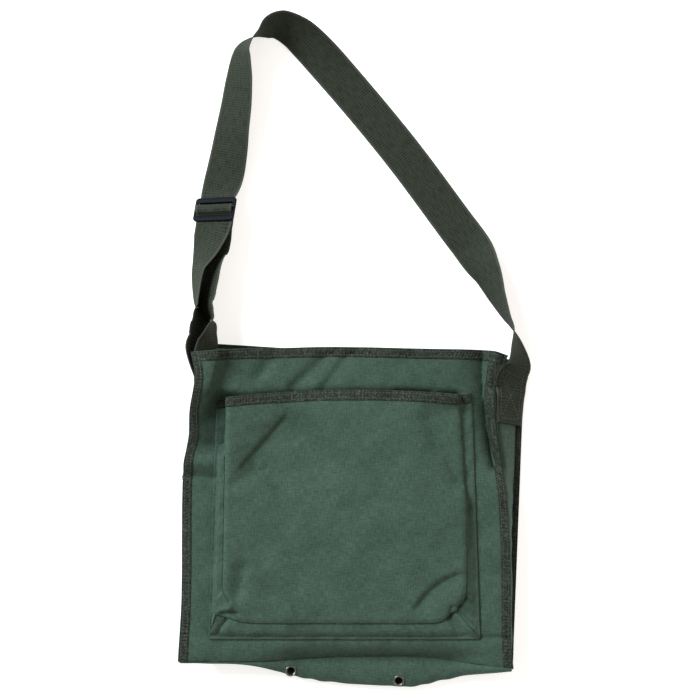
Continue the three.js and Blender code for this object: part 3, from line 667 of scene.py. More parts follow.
@dataclass(frozen=True)
class StitchRow:
    """A row of sewing stitches: short tapered rods along a line, each arched over the cloth."""

    pitch: float = 3.6
    length: float = 2.9
    radius: float = 0.38

    def skin(self, line: Array, out: Array) -> Skin:
        """Lay stitches along a line.

        Each stitch is four square rings along its length, narrow at both ends, and sunk there by its own
        radius. The line is cut into even steps by its running length.

        Args:
            line: Points of the line on the cloth's face.
            out: The cloth's outward way at each of them.

        Returns:
            The stitches as one skin.
        """
        run = running_length(line)
        at = np.arange(self.pitch / 2, run[-1] - self.pitch / 2, self.pitch)
        read = lambda values, where: np.stack([np.interp(where, run, column) for column in values.T], axis=-1)
        centre, up = read(line, at), unit(read(out, at))
        ahead = unit(read(line, at + 0.5) - read(line, at - 0.5))
        side = np.cross(up, ahead)
        along = np.array([-0.5, -0.25, 0.25, 0.5]) * self.length
        sink = np.array([-1.0, 0.15, 0.15, -1.0]) * self.radius
        size = np.array([0.45, 1.0, 1.0, 0.45]) * self.radius
        turn = np.arange(4) * math.pi / 2 + math.pi / 4
        spread, rise = size[:, None] * np.cos(turn), sink[:, None] + size[:, None] * np.sin(turn)
        places = (centre[:, None, None] + ahead[:, None, None] * along[:, None, None]
                  + side[:, None, None] * spread[..., None] + up[:, None, None] * rise[..., None])
        ring = np.arange(4)
        wall = np.stack([ring, (ring + 1) % 4, (ring + 1) % 4 + 4, ring + 4], axis=-1)
        cells = np.concatenate([wall, wall + 4, wall + 8, [[3, 2, 1, 0]], [[12, 13, 14, 15]]])[:, ::-1]
        faces = (cells + 16 * np.arange(len(at))[:, None, None]).reshape(-1, 4)
        places = places.reshape(-1, 3)
        return Skin(places, faces, places[:, :2])


@dataclass(frozen=True)
class Strip:
    """A sewn strip lying on a surface, such as a hem: puckered between its two rows of stitches.

    Its height over the surface is its lift, plus a pucker wave along it that is strongest between the two
    rows, less a pinch along each row.
    """

    surface: Surface
    along: float
    width: float
    place: Callable[[Array, Array], tuple[Array, Array]]
    lift: float
    thickness: float = 1.0
    pitch: float = 3.4
    pucker: float = 0.32
    rows: Pair = (0.24, 0.8)
    pinch: float = 0.3
    pinch_reach: float = 0.9
    cell: float = 1.1

    def middle(self, a: Array, w: Array) -> Array:
        """Work out the strip's middle.

        Args:
            a: Shares along the strip.
            w: Shares across it, from its free edge.

        Returns:
            Points of its middle.
        """
        u, v = self.place(a, w)
        s = a * self.along
        wave = np.sin(2 * np.pi * s / self.pitch + 1.4 * np.sin(s / 9.0) + 0.9 * np.sin(s / 4.1 + 2.0))
        swell = np.sin(np.pi * np.clip(w, 0, 1)) + 0.25
        pinch = sum(np.exp(-(((w - row) * self.width / self.pinch_reach) ** 2)) for row in self.rows)
        height = self.lift + self.pucker * wave * swell * (1 + 0.5 * np.sin(s / 23.0)) - self.pinch * pinch
        return self.surface(u, v) + normal_at(self.surface, u, v) * height[..., None]

    def skin(self) -> Skin:
        """Build the strip on a grid of about one millimetre."""
        a, w = grid(int(self.along / self.cell), 10)
        flat = flat_map(a, w, (self.along, self.width))
        return slab(self.middle(a, w).transpose(1, 0, 2), flat.transpose(1, 0, 2), self.thickness)

    def stitches(self, sewing: StitchRow) -> Skin:
        """Sew the strip down along its two rows."""
        a = np.linspace(0.004, 0.996, int(self.along / 2))
        skins = []
        for row in self.rows:
            u, v = self.place(a, np.full_like(a, row))
            out = normal_at(self.surface, u, v)
            base = self.surface(u, v) + out * (self.lift + self.thickness / 2)
            skins.append(sewing.skin(base, out))
        return joined(skins)


@dataclass
class FrontPanel:
    """The front wall: an outline from four edge curves, its height eased from each edge to a level middle."""

    height: float = 37.0
    left: tuple = ((0, -189, 34), (.2, -185, 35), (.55, -184, 36), (.65, -182, 37), (.73, -177, 38),
                   (.81, -176, 40), (.92, -170, 46), (1, -174, 47))
    right: tuple = ((0, 167, 34), (.1, 165, 36), (.35, 164, 37), (.56, 160, 38), (.69, 153, 39),
                    (.8, 148, 40), (.92, 149, 41), (1, 162, 41))
    top: tuple = ((0, -2, 47), (.14, 1, 41), (.3, 2, 36), (.45, 3, 34), (.75, 1, 36), (.95, -1, 39),
                  (1, -6, 41))
    bottom: tuple = ((0, -331.5, 34), (.2, -332.5, 31), (.35, -331, 29), (.5, -328.5, 29), (.73, -328.5, 29),
                     (.88, -335, 31), (1, -338, 34))
    reach: tuple = (34.0, 34.0, 48.0, 20.0)
    corner_flap: float = 0.041
    flap_share: float = 0.09
    cells: tuple = (165, 165)
    folds: tuple = (
        Fold((-135, 34), (-168, -84), 4.5, 11.0, far_side=4.4, fade=0.3),
        Fold((-139, -40), (-147, -116), 15, -13.5, far_side=1.35, fade=0.2),
        Fold((-180, -120), (-156, -120), 6, 2.4),
        Fold((-182, -134), (-150, -137), 6, -3.6, far_side=0.6),
        Fold((136, -2), (149, -122), 7, -17.0, end_width=2.5, far_side=2.4, bow=-4.5, sharp=1.25),
        Fold((160, -2), (147, -40), 5, -8.0),
        Fold((-137, -54), (108, -51), 5, -5.0, bow=6),
        Fold((-104, -332), (150, -335), 14, -11.5, sharp=3.5, fade=0.2),
        Fold((-30, -6), (-66, -40), 12, -4.0, far_side=0.55),
        Fold((-8, -6), (-34, -40), 10, -3.4, far_side=0.55),
        Fold((58, -8), (80, -42), 6, -4.0, far_side=2.0),
        Fold((-92, -14), (-104, -30), 8, -3.0),
        Fold((131, -305), (165, -305), 1.8, -2.4, far_side=3.0, sharp=1.6),
        Fold((46, -46), (106, -49), 5, -4.0),
    )

    def _edge(self, table: tuple, column: int, at: Array) -> Array:
        """Read one column of an edge's table."""
        return through([(row[0], row[column]) for row in table], at)

    def middle(self, u: Array, v: Array) -> Array:
        """Work out the panel's middle.

        In plan it runs straight between the left and right edges and between the bottom and top edges. Its
        height is the level middle, plus each edge's own height faded out over that edge's reach, less the
        corners counted twice, plus the folds and the cloth's gentle lumps.

        Args:
            u: Shares from the left edge to the right edge.
            v: Shares from the bottom edge to the top edge.

        Returns:
            Points of the panel's middle.
        """
        x0, x1 = self._edge(self.left, 1, v), self._edge(self.right, 1, v)
        y0, y1 = self._edge(self.bottom, 1, u), self._edge(self.top, 1, u)
        x, y = mix(x0, x1, u), mix(y0, y1, v)
        left, right = eased(u * (x1 - x0), self.reach[0]), eased((1 - u) * (x1 - x0), self.reach[1])
        top, low = eased((1 - v) * (y1 - y0), self.reach[2]), eased(v * (y1 - y0), self.reach[3])
        over = lambda table, at: self._edge(table, 2, at) - self.height
        ends = np.array([0.0, 1.0])
        tops, lows = over(self.top, ends), over(self.bottom, ends)
        edges = (left * over(self.left, v) + right * over(self.right, v)
                 + top * over(self.top, u) + low * over(self.bottom, u))
        corners = top * (left * tops[0] + right * tops[1]) + low * (left * lows[0] + right * lows[1])
        inside = (1 - left) * (1 - right) * (1 - top) * (1 - low)
        z = self.height + edges - corners + folded(self.folds, x, y) + unevenness(x, y, 0.35) * inside
        return vector(x, y, z)

    def height_at(self, x: Array, y: Array) -> Array:
        """Find the panel's height under places in plan, closing in on its two parameters in turns."""
        u, v = np.full_like(x, 0.5), np.full_like(y, 0.5)
        for _ in range(12):
            x0, x1 = self._edge(self.left, 1, v), self._edge(self.right, 1, v)
            u = (x - x0) / (x1 - x0)
            y0, y1 = self._edge(self.bottom, 1, u), self._edge(self.top, 1, u)
            v = (y - y0) / (y1 - y0)
        return self.middle(u, v)[..., 2]

    def strips(self) -> dict[str, Strip]:
        """List the sewn strips on the panel: the mouth's hem and the seam flange along each side."""
        seam, hem = SEAM / PANEL_CUT[0], HEM / PANEL_CUT[1]
        flap = lambda a: eased(1 - a, self.flap_share) * self.corner_flap
        places = {
            "mouth_hem": (PANEL_CUT[0], HEM, lambda a, w: (a, 1 - hem * w), HEM_LIFT),
            "left_flange": (PANEL_CUT[1], SEAM, lambda a, w: (seam * w, a), HEM_LIFT + 0.1),
            "right_flange": (PANEL_CUT[1], SEAM, lambda a, w: (1 - seam * w - flap(a), a), HEM_LIFT + 0.1),
        }
        return {name: Strip(self.middle, *place) for name, place in places.items()}

    def build(self, finish: Finishes) -> None:
        """Build the panel, its hem, its seam flanges and their stitches."""
        u, v = grid(*self.cells)
        cloth = slab(self.middle(u, v), flat_map(u, v, PANEL_CUT))
        panel = add_piece("front_cloth", cloth, finish.cloth, ["front_panel"])
        strips = self.strips()
        extras = [add_piece(name, strip.skin(), finish.hem) for name, strip in strips.items()]
        sewn = joined([strip.stitches(StitchRow()) for strip in strips.values()])
        extras.append(add_piece("front_stitches", sewn, finish.thread))


@dataclass
class BackPanel:
    """The back wall: a flat rectangle on the floor, turned a little, with the mouth's hem along its top."""

    width: float = 332.0
    length: float = 325.0
    turn: float = math.radians(-2.2)
    corner: Pair = (181.8, -14.0)
    flare: float = 6.2
    lift: float = 7.5
    drawn_share: float = 0.22
    off_floor: float = 0.02
    ripple: float = 0.5
    hem_pucker: float = 0.2
    cells: tuple = (90, 90)

    def point(self, u: Array, v: Array, z: Array | float) -> Array:
        """Place a share across and a share up on the panel, at a height; its top corners are drawn out."""
        u, v = np.asarray(u, float), np.asarray(v, float)
        drawn = eased(1 - v, self.drawn_share)
        across = (u - 1) * self.width + drawn * self.flare * u
        up = (v - 1) * self.length + drawn * self.lift * (1 - u)
        return vector(self.corner[0] + across * math.cos(self.turn) - up * math.sin(self.turn),
                      self.corner[1] + across * math.sin(self.turn) + up * math.cos(self.turn), z)

    @property
    def up(self) -> Array:
        """The panel's way up in plan."""
        return np.array([-math.sin(self.turn), math.cos(self.turn), 0.0])

    def build(self, finish: Finishes) -> None:
        """Build the panel and the hem along its top."""
        u, v = grid(*self.cells)
        wave = np.sin(u * 23 + 2 * np.sin(v * 9)) ** 2
        ripple = self.ripple * wave * np.sin(np.pi * u) * np.sin(np.pi * v)
        flat = flat_map(u, v, (self.width, self.length))
        cloth = slab(self.point(u, v, CLOTH / 2 + self.off_floor + ripple), flat)
        panel = add_piece("back_cloth", cloth, finish.cloth, ["back_panel"])
        hem = Strip(lambda a, b: self.point(a, b, CLOTH / 2), self.width, HEM,
                    lambda a, w: (a, 1 - HEM / self.length * w), HEM_LIFT + 0.1, pucker=self.hem_pucker)
        extra = add_piece("back_hem", hem.skin(), finish.hem)


@dataclass
class BottomPanel:
    """The bottom wall: bulging out from the front's bottom edge and round to the back's, with two eyelets."""

    front: FrontPanel
    back: BackPanel
    bulge: tuple = ((0, -333), (.14, -334), (.2, -336.5), (.28, -343.5), (.35, -351.3), (.43, -356),
                    (.5, -357.8), (.69, -360.8), (.76, -355.8), (.85, -349.5), (1, -342.8))
    rise: float = 9.0
    end_share: float = 0.004
    eyelets: Pair = (0.33, 0.655)
    eyelet_levels: Pair = (0.2, 0.28)
    hole: float = 4.75
    pressed: float = 6.6
    pressed_reach: float = 6.0
    ripple: float = 0.5
    cells: tuple = (60, 320)
    cut: Pair = (356.0, 62.0)

    def middle(self, u: Array, s: Array) -> Array:
        """Work out the panel's middle: for each share across, a cubic Bezier from the front edge to the back.

        Args:
            u: Shares from left to right.
            s: Shares from the front edge round to the back edge.

        Returns:
            Points of the panel's middle.
        """
        edge = self.front.middle(u, np.zeros_like(u))
        outward = unit(edge - self.front.middle(u, np.full_like(u, self.end_share)))
        start = edge + outward * (GAP + CLOTH / 2)
        end = self.back.point(u, 0.0, CLOTH / 2) - self.back.up * (2 * GAP + CLOTH / 2)
        bulge = through(self.bulge, u)
        reach = bulge + (bulge - (start[..., 1] + end[..., 1]) / 2) / 3
        upper = vector(start[..., 0], reach, start[..., 2] + self.rise)
        lower = vector(end[..., 0], reach, CLOTH / 2)
        t = s[..., None]
        return (start * (1 - t) ** 3 + upper * 3 * t * (1 - t) ** 2
                + lower * 3 * t * t * (1 - t) + end * t ** 3)

    def build(self, finish: Finishes) -> None:
        """Build the panel, pressed flat round its two holes, and the eyelets in them."""
        ends = (self.end_share, 1 - self.end_share)
        s, u = grid(*self.cells, v_ends=ends)
        place = self.middle(u, s)
        ripple = self.ripple * np.sin(u * 61 + 3 * np.sin(u * 17)) * np.sin(np.pi * s) ** 2
        place = place + grid_normals(place) * (ripple * np.minimum(1, 12 * u * (1 - u)))[..., None]
        spots = np.array(self.eyelets), np.array(self.eyelet_levels)
        centres, outs = self.middle(*spots), -normal_at(self.middle, *spots)
        for centre, out in zip(centres, outs):
            off = place - centre
            beyond = np.maximum(0.0, np.linalg.norm(off, axis=-1) - self.pressed)
            place = place - out * ((off @ out) * eased(beyond, self.pressed_reach))[..., None]
        cell = (place[:-1, :-1] + place[1:, 1:]) / 2
        away = np.linalg.norm(cell[..., None, :] - centres, axis=-1).min(axis=-1)
        cloth = slab(place, flat_map(s, u, self.cut[::-1]), keep=away > self.hole)
        panel = add_piece("bottom_cloth", cloth, finish.cloth, ["bottom_panel"])
        for name, centre, out in zip(("eyelet_left", "eyelet_right"), centres, outs):
            Eyelet(centre, out).build(name, finish)


@dataclass
class Eyelet:
    """A pressed eyelet: a rolled flange on the outside, a barrel through the cloth, a washer behind."""

    centre: Array
    out: Array
    section: tuple = ((4.0, -3.2), (5.3, -3.2), (5.4, -2.6), (4.7, -2.3), (4.6, 0.4), (6.1, 0.7), (6.2, 1.2),
                      (5.9, 1.7), (5.4, 2.0), (4.8, 1.9), (4.3, 1.5), (4.05, 0.9))

    def build(self, node: str, finish: Finishes) -> None:
        """Turn the section round the eyelet's own axis.

        Args:
            node: The CAD node that it stands for.
            finish: The bag's finishes.
        """
        side = unit(np.cross(self.out, [1.0, 0.0, 0.0]))
        other = np.cross(self.out, side)
        turn = np.linspace(0, 2 * np.pi, 48, endpoint=False)[:, None, None]
        radius, height = np.array(self.section).T[..., None]
        places = self.centre + radius * (side * np.cos(turn) + other * np.sin(turn)) + self.out * height
        add_piece(f"{node}_steel", tube(places), finish.steel, [node], sharp=70)


class Side(Enum):
    """The bag's two sides: the way it faces, its edge of the front, and its gusset's insets."""

    LEFT = (-1, 0.0, 7.0, 2.0)
    RIGHT = (1, 1.0, -2.5, 7.0)

    @property
    def sign(self) -> int:
        """The way that the side faces along x."""
        return self.value[0]

    @property
    def edge(self) -> float:
        """The side's share across the front panel."""
        return self.value[1]


@dataclass
class Gusset:
    """A side wall: a pinched seam under the front, the wall, and a pinched seam over the back."""

    side: Side
    front: FrontPanel
    back: BackPanel
    bottom: BottomPanel
    drop: float = 6.5
    lift: float = 5.5
    seam_inset: float = 9.0
    lowest: float = 0.003
    highest: float = 0.988
    corner_share: float = 0.1
    corner_gap: float = 1.4
    cut: Pair = (66.0, 335.0)
    rounding: float = 0.24
    buckle: float = 0.5
    buckle_reach: float = 0.16
    strip_width: float = SEAM - 1.5
    strip_share: float = 0.18
    strip_start: float = 0.02
    cells: tuple = (46, 150)

    def section(self, v: Array) -> Array:
        """Work out the wall's six turning points at each share up the side.

        Args:
            v: Shares from the bottom to the top.

        Returns:
            Six points for each share, the points first.
        """
        sign, edge_u, upper_inset, lower_inset = self.side.value

        def under(u: float) -> Array:
            """Go under the front panel by the doubled cloth's depth."""
            across = np.full_like(v, u)
            down = normal_at(self.front.middle, across, v) * (CLOTH + 0.5 + 3 * GAP)
            return self.front.middle(across, v) - down

        edge = under(edge_u)
        root = under(mix(edge_u, 0.5, 2 * SEAM / PANEL_CUT[0]))
        back = self.back.point(np.full_like(v, edge_u), v, CLOTH * 1.5 + GAP)
        return np.stack([
            edge, root,
            edge + [-sign * upper_inset, 0, -self.drop],
            back + [-sign * lower_inset, 0, self.lift],
            back + [-sign * self.seam_inset, 0, 0],
            back,
        ])

    def middle(self, k: Array, v: Array) -> Array:
        """Work out the wall's middle: the bent line of six points with its bends rounded.

        The rounding takes the mean of nearby places on the bent line. Near the bottom corner the wall's end
        follows the bottom panel's end round.

        Args:
            k: Shares from the front seam to the back seam.
            v: Shares from the bottom to the top.

        Returns:
            Points of the wall's middle.
        """
        section = self.section(v.ravel()).reshape(6, *v.shape, 3)
        place = rounded_line(section, k, self.rounding)
        near = eased(v, self.corner_share)
        end = self.bottom.middle(np.full_like(k, self.side.edge), k)[..., 1]
        place[..., 1] = mix(place[..., 1], end + self.corner_gap, near)
        return place

    def build(self, finish: Finishes) -> None:
        """Build the wall, and the stitched strip along its back seam."""
        name = f"{self.side.name.lower()}_gusset"
        k, v = grid(*self.cells, v_ends=(self.lowest, self.highest))
        wall = self.middle(k, v)
        buckle = self.buckle * np.sin(v * 57 + 2.5 * np.sin(v * 13))
        wall[..., 0] += self.side.sign * buckle * np.exp(-(((k - 0.5) / self.buckle_reach) ** 2))
        skin = slab(wall, flat_map(k, v, self.cut))
        cloth = add_piece(f"{name}_cloth", skin, finish.cloth, [name])
        place = lambda a, w: (1 - self.strip_share * w, mix(self.strip_start, self.highest, a))
        strip = Strip(self.middle, self.cut[1], self.strip_width, place, self.side.sign * HEM_LIFT)
        extras = [
            add_piece(f"{name}_flange", strip.skin(), finish.hem),
            add_piece(f"{name}_stitches", strip.stitches(StitchRow()), finish.thread),
        ]


@dataclass
class Pocket:
    """The patch pocket: a hemmed face held off the front by three narrow gusset walls."""

    front: FrontPanel
    seam: tuple = ((-156, -307), (132, -307), (-148, -52), (123, -45))
    corners: tuple = ((-141, -289), (116, -289), (-137, -50), (108, -47))
    arch: float = 6.0
    swell: float = 4.0
    heights: tuple = ((0, 50, 51, 50), (.5, 50, 52, 51), (.85, 49, 49, 51), (1, 47, 45, 50))
    roll: float = 2.2
    roll_reach: float = 5.0
    wall_width: float = 4.0
    wall_cut: float = 19.0
    wall_lengths: tuple = (258.0, 287.0, 262.0)
    wall_hem: float = 17.0
    wall_hem_span: Pair = (0.05, 0.95)
    wall_hem_start: float = 0.004
    wall_stitch_share: float = 0.14
    wall_ends: Pair = (0.0015, 0.9985)
    wall_rounding: float = 0.3
    wall_cells: tuple = (18, 170)
    cells: tuple = (170, 160)
    tuck: float = 1.6
    left_profile: tuple = ((0, 1.12, -.15, -1.2), (.22, 1.12, -.15, -1.2), (.26, .3, .85, 1),
                           (1, .3, .85, 1))
    bottom_profile: tuple = ((0, .28, .85, 1), (1, .28, .85, 1))
    right_profile: tuple = ((0, .5, .5, 1), (.3, .5, .5, 1), (.48, .84, .14, .6), (1, .84, .14, .6))
    pulls: tuple = (
        Pull((-141, -271), (9.5, 0), 10),
        Pull((-141, -289), (-9, 9), 17),
        Pull((116, -289), (-9, 12), 18),
    )
    folds: tuple = (
        Fold((-46, -66), (-119, -149), 62, -12.0, far_side=0.45, fade=0.3),
        Fold((-66, -64), (-132, -136), 9, -2.6, far_side=0.22, sharp=1.5, fade=0.25),
        Fold((-92, -122), (-141, -148), 7, -2.6, fade=0.2),
        Fold((108, -48), (117, -156), 10, -6.0, far_side=2.3, fade=0.15),
        Fold((74, -54), (90, -126), 18, -4.5, far_side=0.55, fade=0.3),
        Fold((87, -108), (116, -160), 5, -3.0, far_side=1.2, sharp=1.6, fade=0.4),
        Fold((116, -236), (60, -282), 14, -4.0, far_side=0.3, bow=-9, fade=0.2),
    )
    crumples: tuple = (
        Fold((-116, -218), (-128, -272), 6, -5.0, far_side=1.7, fade=0.3),
        Fold((-141, -259), (-133, -272), 2.4, 2.2, sharp=1.5),
        Fold((-133, -273), (-151, -277), 2.4, 2.0, sharp=1.5),
        Fold((-141, -278), (-126, -279), 2.6, -4.0),
        Fold((-137, -286), (-149, -303), 2.4, -4.0, sharp=1.5),
        Fold((112, -282), (131, -304), 2.6, 2.0, sharp=1.5, fade=0.2),
        Fold((108, -271), (114, -262), 2.6, -3.4, sharp=1.5),
        Fold((103, -268), (97, -288), 3.0, -2.6, fade=0.2),
    )

    @staticmethod
    def between(corners: tuple, u: Array, v: Array) -> tuple[Array, Array]:
        """Go between four corners in plan, lower left, lower right, upper left, upper right."""
        (x0, y0), (x1, y1), (x2, y2), (x3, y3) = corners
        return mix(mix(x0, x1, u), mix(x2, x3, u), v), mix(mix(y0, y1, u), mix(y2, y3, u), v)

    def face(self, u: Array, v: Array) -> Array:
        """Work out the face's middle.

        In plan it lies between its four corners, drawn aside at the lower two, with an arched mouth and a
        side that swells. Its height comes from three columns joined by a parabola across, rolls down near
        the sewn edges, and has the folds and the cloth's lumps added.

        Args:
            u: Shares from left to right.
            v: Shares from the bottom to the mouth.

        Returns:
            Points of the face's middle.
        """
        x, y = pulled(self.pulls, *self.between(self.corners, u, v))
        left, middle, right = (through([(row[0], row[i]) for row in self.heights], v) for i in (1, 2, 3))
        z = mix(left, right, u) + (middle - (left + right) / 2) * (1 - (2 * u - 1) ** 2)
        width, length = POCKET_CUT
        for distance in (u * width, (1 - u) * width, v * length):
            z = z - self.roll * eased(distance, self.roll_reach)
        z = z + folded(self.folds, x, y) + folded(self.crumples, x, y) + unevenness(x + 90, y, 0.3)
        return vector(x + self.swell * u * 4 * v * (1 - v), y + self.arch * 4 * u * (1 - u) * v * v, z)

    def wall(self, edge: Callable[[Array], tuple[Array, Array]], profile: tuple) -> Surface:
        """Make one of the pocket's gusset walls.

        Across, it is a bent line from the seam on the panel over a sewn strip to a shoulder, and on to a rim
        under the face's edge, with its bends rounded by a mean of nearby places.

        Args:
            edge: Gives the face's two parameters at each share along the wall.
            profile: Rows of a share along the wall, the shoulder's share of the way from the strip to the
                rim, its share of the rise, and how far the rim stands out of the face's edge.

        Returns:
            The wall's surface, by shares across it and along it.
        """
        def surface(k: Array, t: Array) -> Array:
            """Place points by shares across and along the wall."""
            u, v = edge(t)
            along, *columns = np.array(profile).T
            across, rise, inset = (np.interp(t, along, column)[..., None] for column in columns)
            seam_x, seam_y = self.between(self.seam, u, v)
            face = self.face(u, v)
            dx, dy = seam_x - face[..., 0], seam_y - face[..., 1]
            span = np.hypot(dx, dy)

            def on_panel(share: Array) -> Array:
                """Lie on the front panel, so far from the seam to the face's edge."""
                x, y = mix(seam_x, face[..., 0], share), mix(seam_y, face[..., 1], share)
                return vector(x, y, self.front.height_at(x, y) + CLOTH + 4 * GAP)

            seam, root = on_panel(np.zeros_like(u)), on_panel(self.wall_width / span)
            rim = face + vector(dx, dy, 0 * dx) / span[..., None] * inset - [0, 0, self.tuck]
            shoulder = mix(root, rim, across)
            shoulder[..., 2] = mix(root, rim, rise)[..., 2]
            line = np.stack([seam, root, shoulder, rim])
            place = rounded_line(line, k, self.wall_rounding)
            x, y = place[..., 0], place[..., 1]
            grown = np.sin(np.pi * k / 2) * np.sin(np.pi * np.minimum(k, 0.5))
            place[..., 2] += folded(self.crumples, x, y) * grown
            place[..., 2] += unevenness(x, y, 0.3, 30.0) * np.sin(np.pi * k)
            return place

        return surface

    def build(self, finish: Finishes) -> None:
        """Build the face, its hem, the three walls and their stitches."""
        width, length = POCKET_CUT
        u, v = grid(*self.cells)
        cloth = slab(self.face(u, v), flat_map(u, v, POCKET_CUT))
        face = add_piece("pocket_cloth", cloth, finish.cloth, ["pocket_face"])
        hem = Strip(self.face, width, HEM - 0.5, lambda a, w: (a, 1 - HEM / length * w), HEM_LIFT)
        rows = [hem.stitches(StitchRow())]
        extras = [add_piece("pocket_hem", hem.skin(), finish.hem)]
        walls = (
            ("pocket_left_side", lambda t: (0 * t, 1 - t), self.left_profile, lambda s: s),
            ("pocket_bottom_side", lambda t: (t, 0 * t), self.bottom_profile, None),
            ("pocket_right_side", lambda t: (0 * t + 1, t), self.right_profile, lambda s: 1 - s),
        )
        pieces = []
        for (name, edge, profile, from_mouth), along in zip(walls, self.wall_lengths):
            surface = self.wall(edge, profile)
            k, t = grid(*self.wall_cells, v_ends=self.wall_ends)
            cloth = slab(surface(k, t), flat_map(k, t, (self.wall_cut, along)))
            piece = add_piece(f"{name}_cloth", cloth, finish.cloth, [name])
            hems = []
            if from_mouth:
                place = lambda a, w: (mix(*self.wall_hem_span, a),
                                      from_mouth(self.wall_hem_start + HEM / along * w))
                strip = Strip(surface, self.wall_hem, HEM, place, -HEM_LIFT)
                hems.append(add_piece(f"{name}_hem", strip.skin(), finish.hem))
            pieces.append((piece, along, hems))
            line = np.linspace(0.01, 0.99, 120)
            share = np.full_like(line, self.wall_stitch_share)
            out = normal_at(surface, share, line)
            out = out * np.sign(out[..., 2:])
            rows.append(StitchRow().skin(surface(share, line) + out * (CLOTH / 2 + 0.1), out))
        extras.append(add_piece("pocket_stitches", joined(rows), finish.thread))
        for piece, along, hems in pieces:
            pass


def across_from(heading: Array, tilt: Array) -> Array:
    """Turn a heading in plan and a tilt, both in degrees, into the way of a webbing's upper edge."""
    turn, rise = np.radians(heading), np.radians(tilt)
    return vector(np.cos(rise) * np.cos(turn), np.cos(rise) * np.sin(turn), np.sin(rise))


@dataclass
class BarFrame:
    """A moulded frame of flat bars with rounded edges, and a place and three ways of its own."""

    centre: Array
    across: Array
    up: Array
    width: float
    length: float
    depth: float
    side_bar: float
    end_bar: float
    corner: float

    @property
    def out(self) -> Array:
        """The way out of the frame's front."""
        return np.cross(self.across, self.up)

    def at(self, along: Array | float, lift: Array | float, slide: Array | float = 0.0) -> Array:
        """Place points by their distance up the frame, out of its front and across it."""
        along, lift, slide = (np.asarray(value, float)[..., None] for value in (along, lift, slide))
        return self.centre + self.up * along + self.out * lift + self.across * slide

    @staticmethod
    def outline(width: float, length: float, corner: float) -> Array:
        """Go round a rectangle with rounded corners: twelve points round each corner, in plan."""
        turn = np.linspace(0, np.pi / 2, 12)
        quarter = np.stack([np.cos(turn), np.sin(turn)], axis=-1) * corner
        middle = np.array([width / 2 - corner, length / 2 - corner])
        corners = ((1, 1), (-1, 1), (-1, -1), (1, -1))
        return np.concatenate([((middle + quarter) * [x, y])[:: x * y] for x, y in corners])

    @staticmethod
    def rounded(count: int, power: float = 0.5) -> Array:
        """Go round a square with soft corners, from -1 to 1: cosine and sine raised to a power."""
        turn = np.linspace(0, 2 * np.pi, count, endpoint=False)
        circle = np.stack([np.cos(turn), np.sin(turn)], axis=-1)
        return np.sign(circle) * np.abs(circle) ** power

    def frame_skin(self) -> Skin:
        """Carry a soft square section round the frame, from its inner outline to its outer outline."""
        outer = self.outline(self.width, self.length, self.corner)
        inner = self.outline(self.width - 2 * self.side_bar, self.length - 2 * self.end_bar, 2.5)
        section = self.rounded(16)
        plan = mix(inner[:, None], outer[:, None], 0.5 + section[:, :1] / 2)
        lift = np.broadcast_to(section[:, 1] * self.depth / 2, plan.shape[:2])
        return tube(self.at(plan[..., 1], lift, plan[..., 0])[:, ::-1])

    def bar_skin(self, thick: float) -> Skin:
        """Carry the same section straight across the frame's middle, its ends inside the side bars."""
        section = self.rounded(16) / 2
        slide = np.linspace(-1, 1, 5)[:, None] * (self.width / 2 - self.side_bar * 0.6)
        parts = np.broadcast_arrays(section[:, 0] * thick, section[:, 1] * self.depth, slide)
        return rod(self.at(*parts))


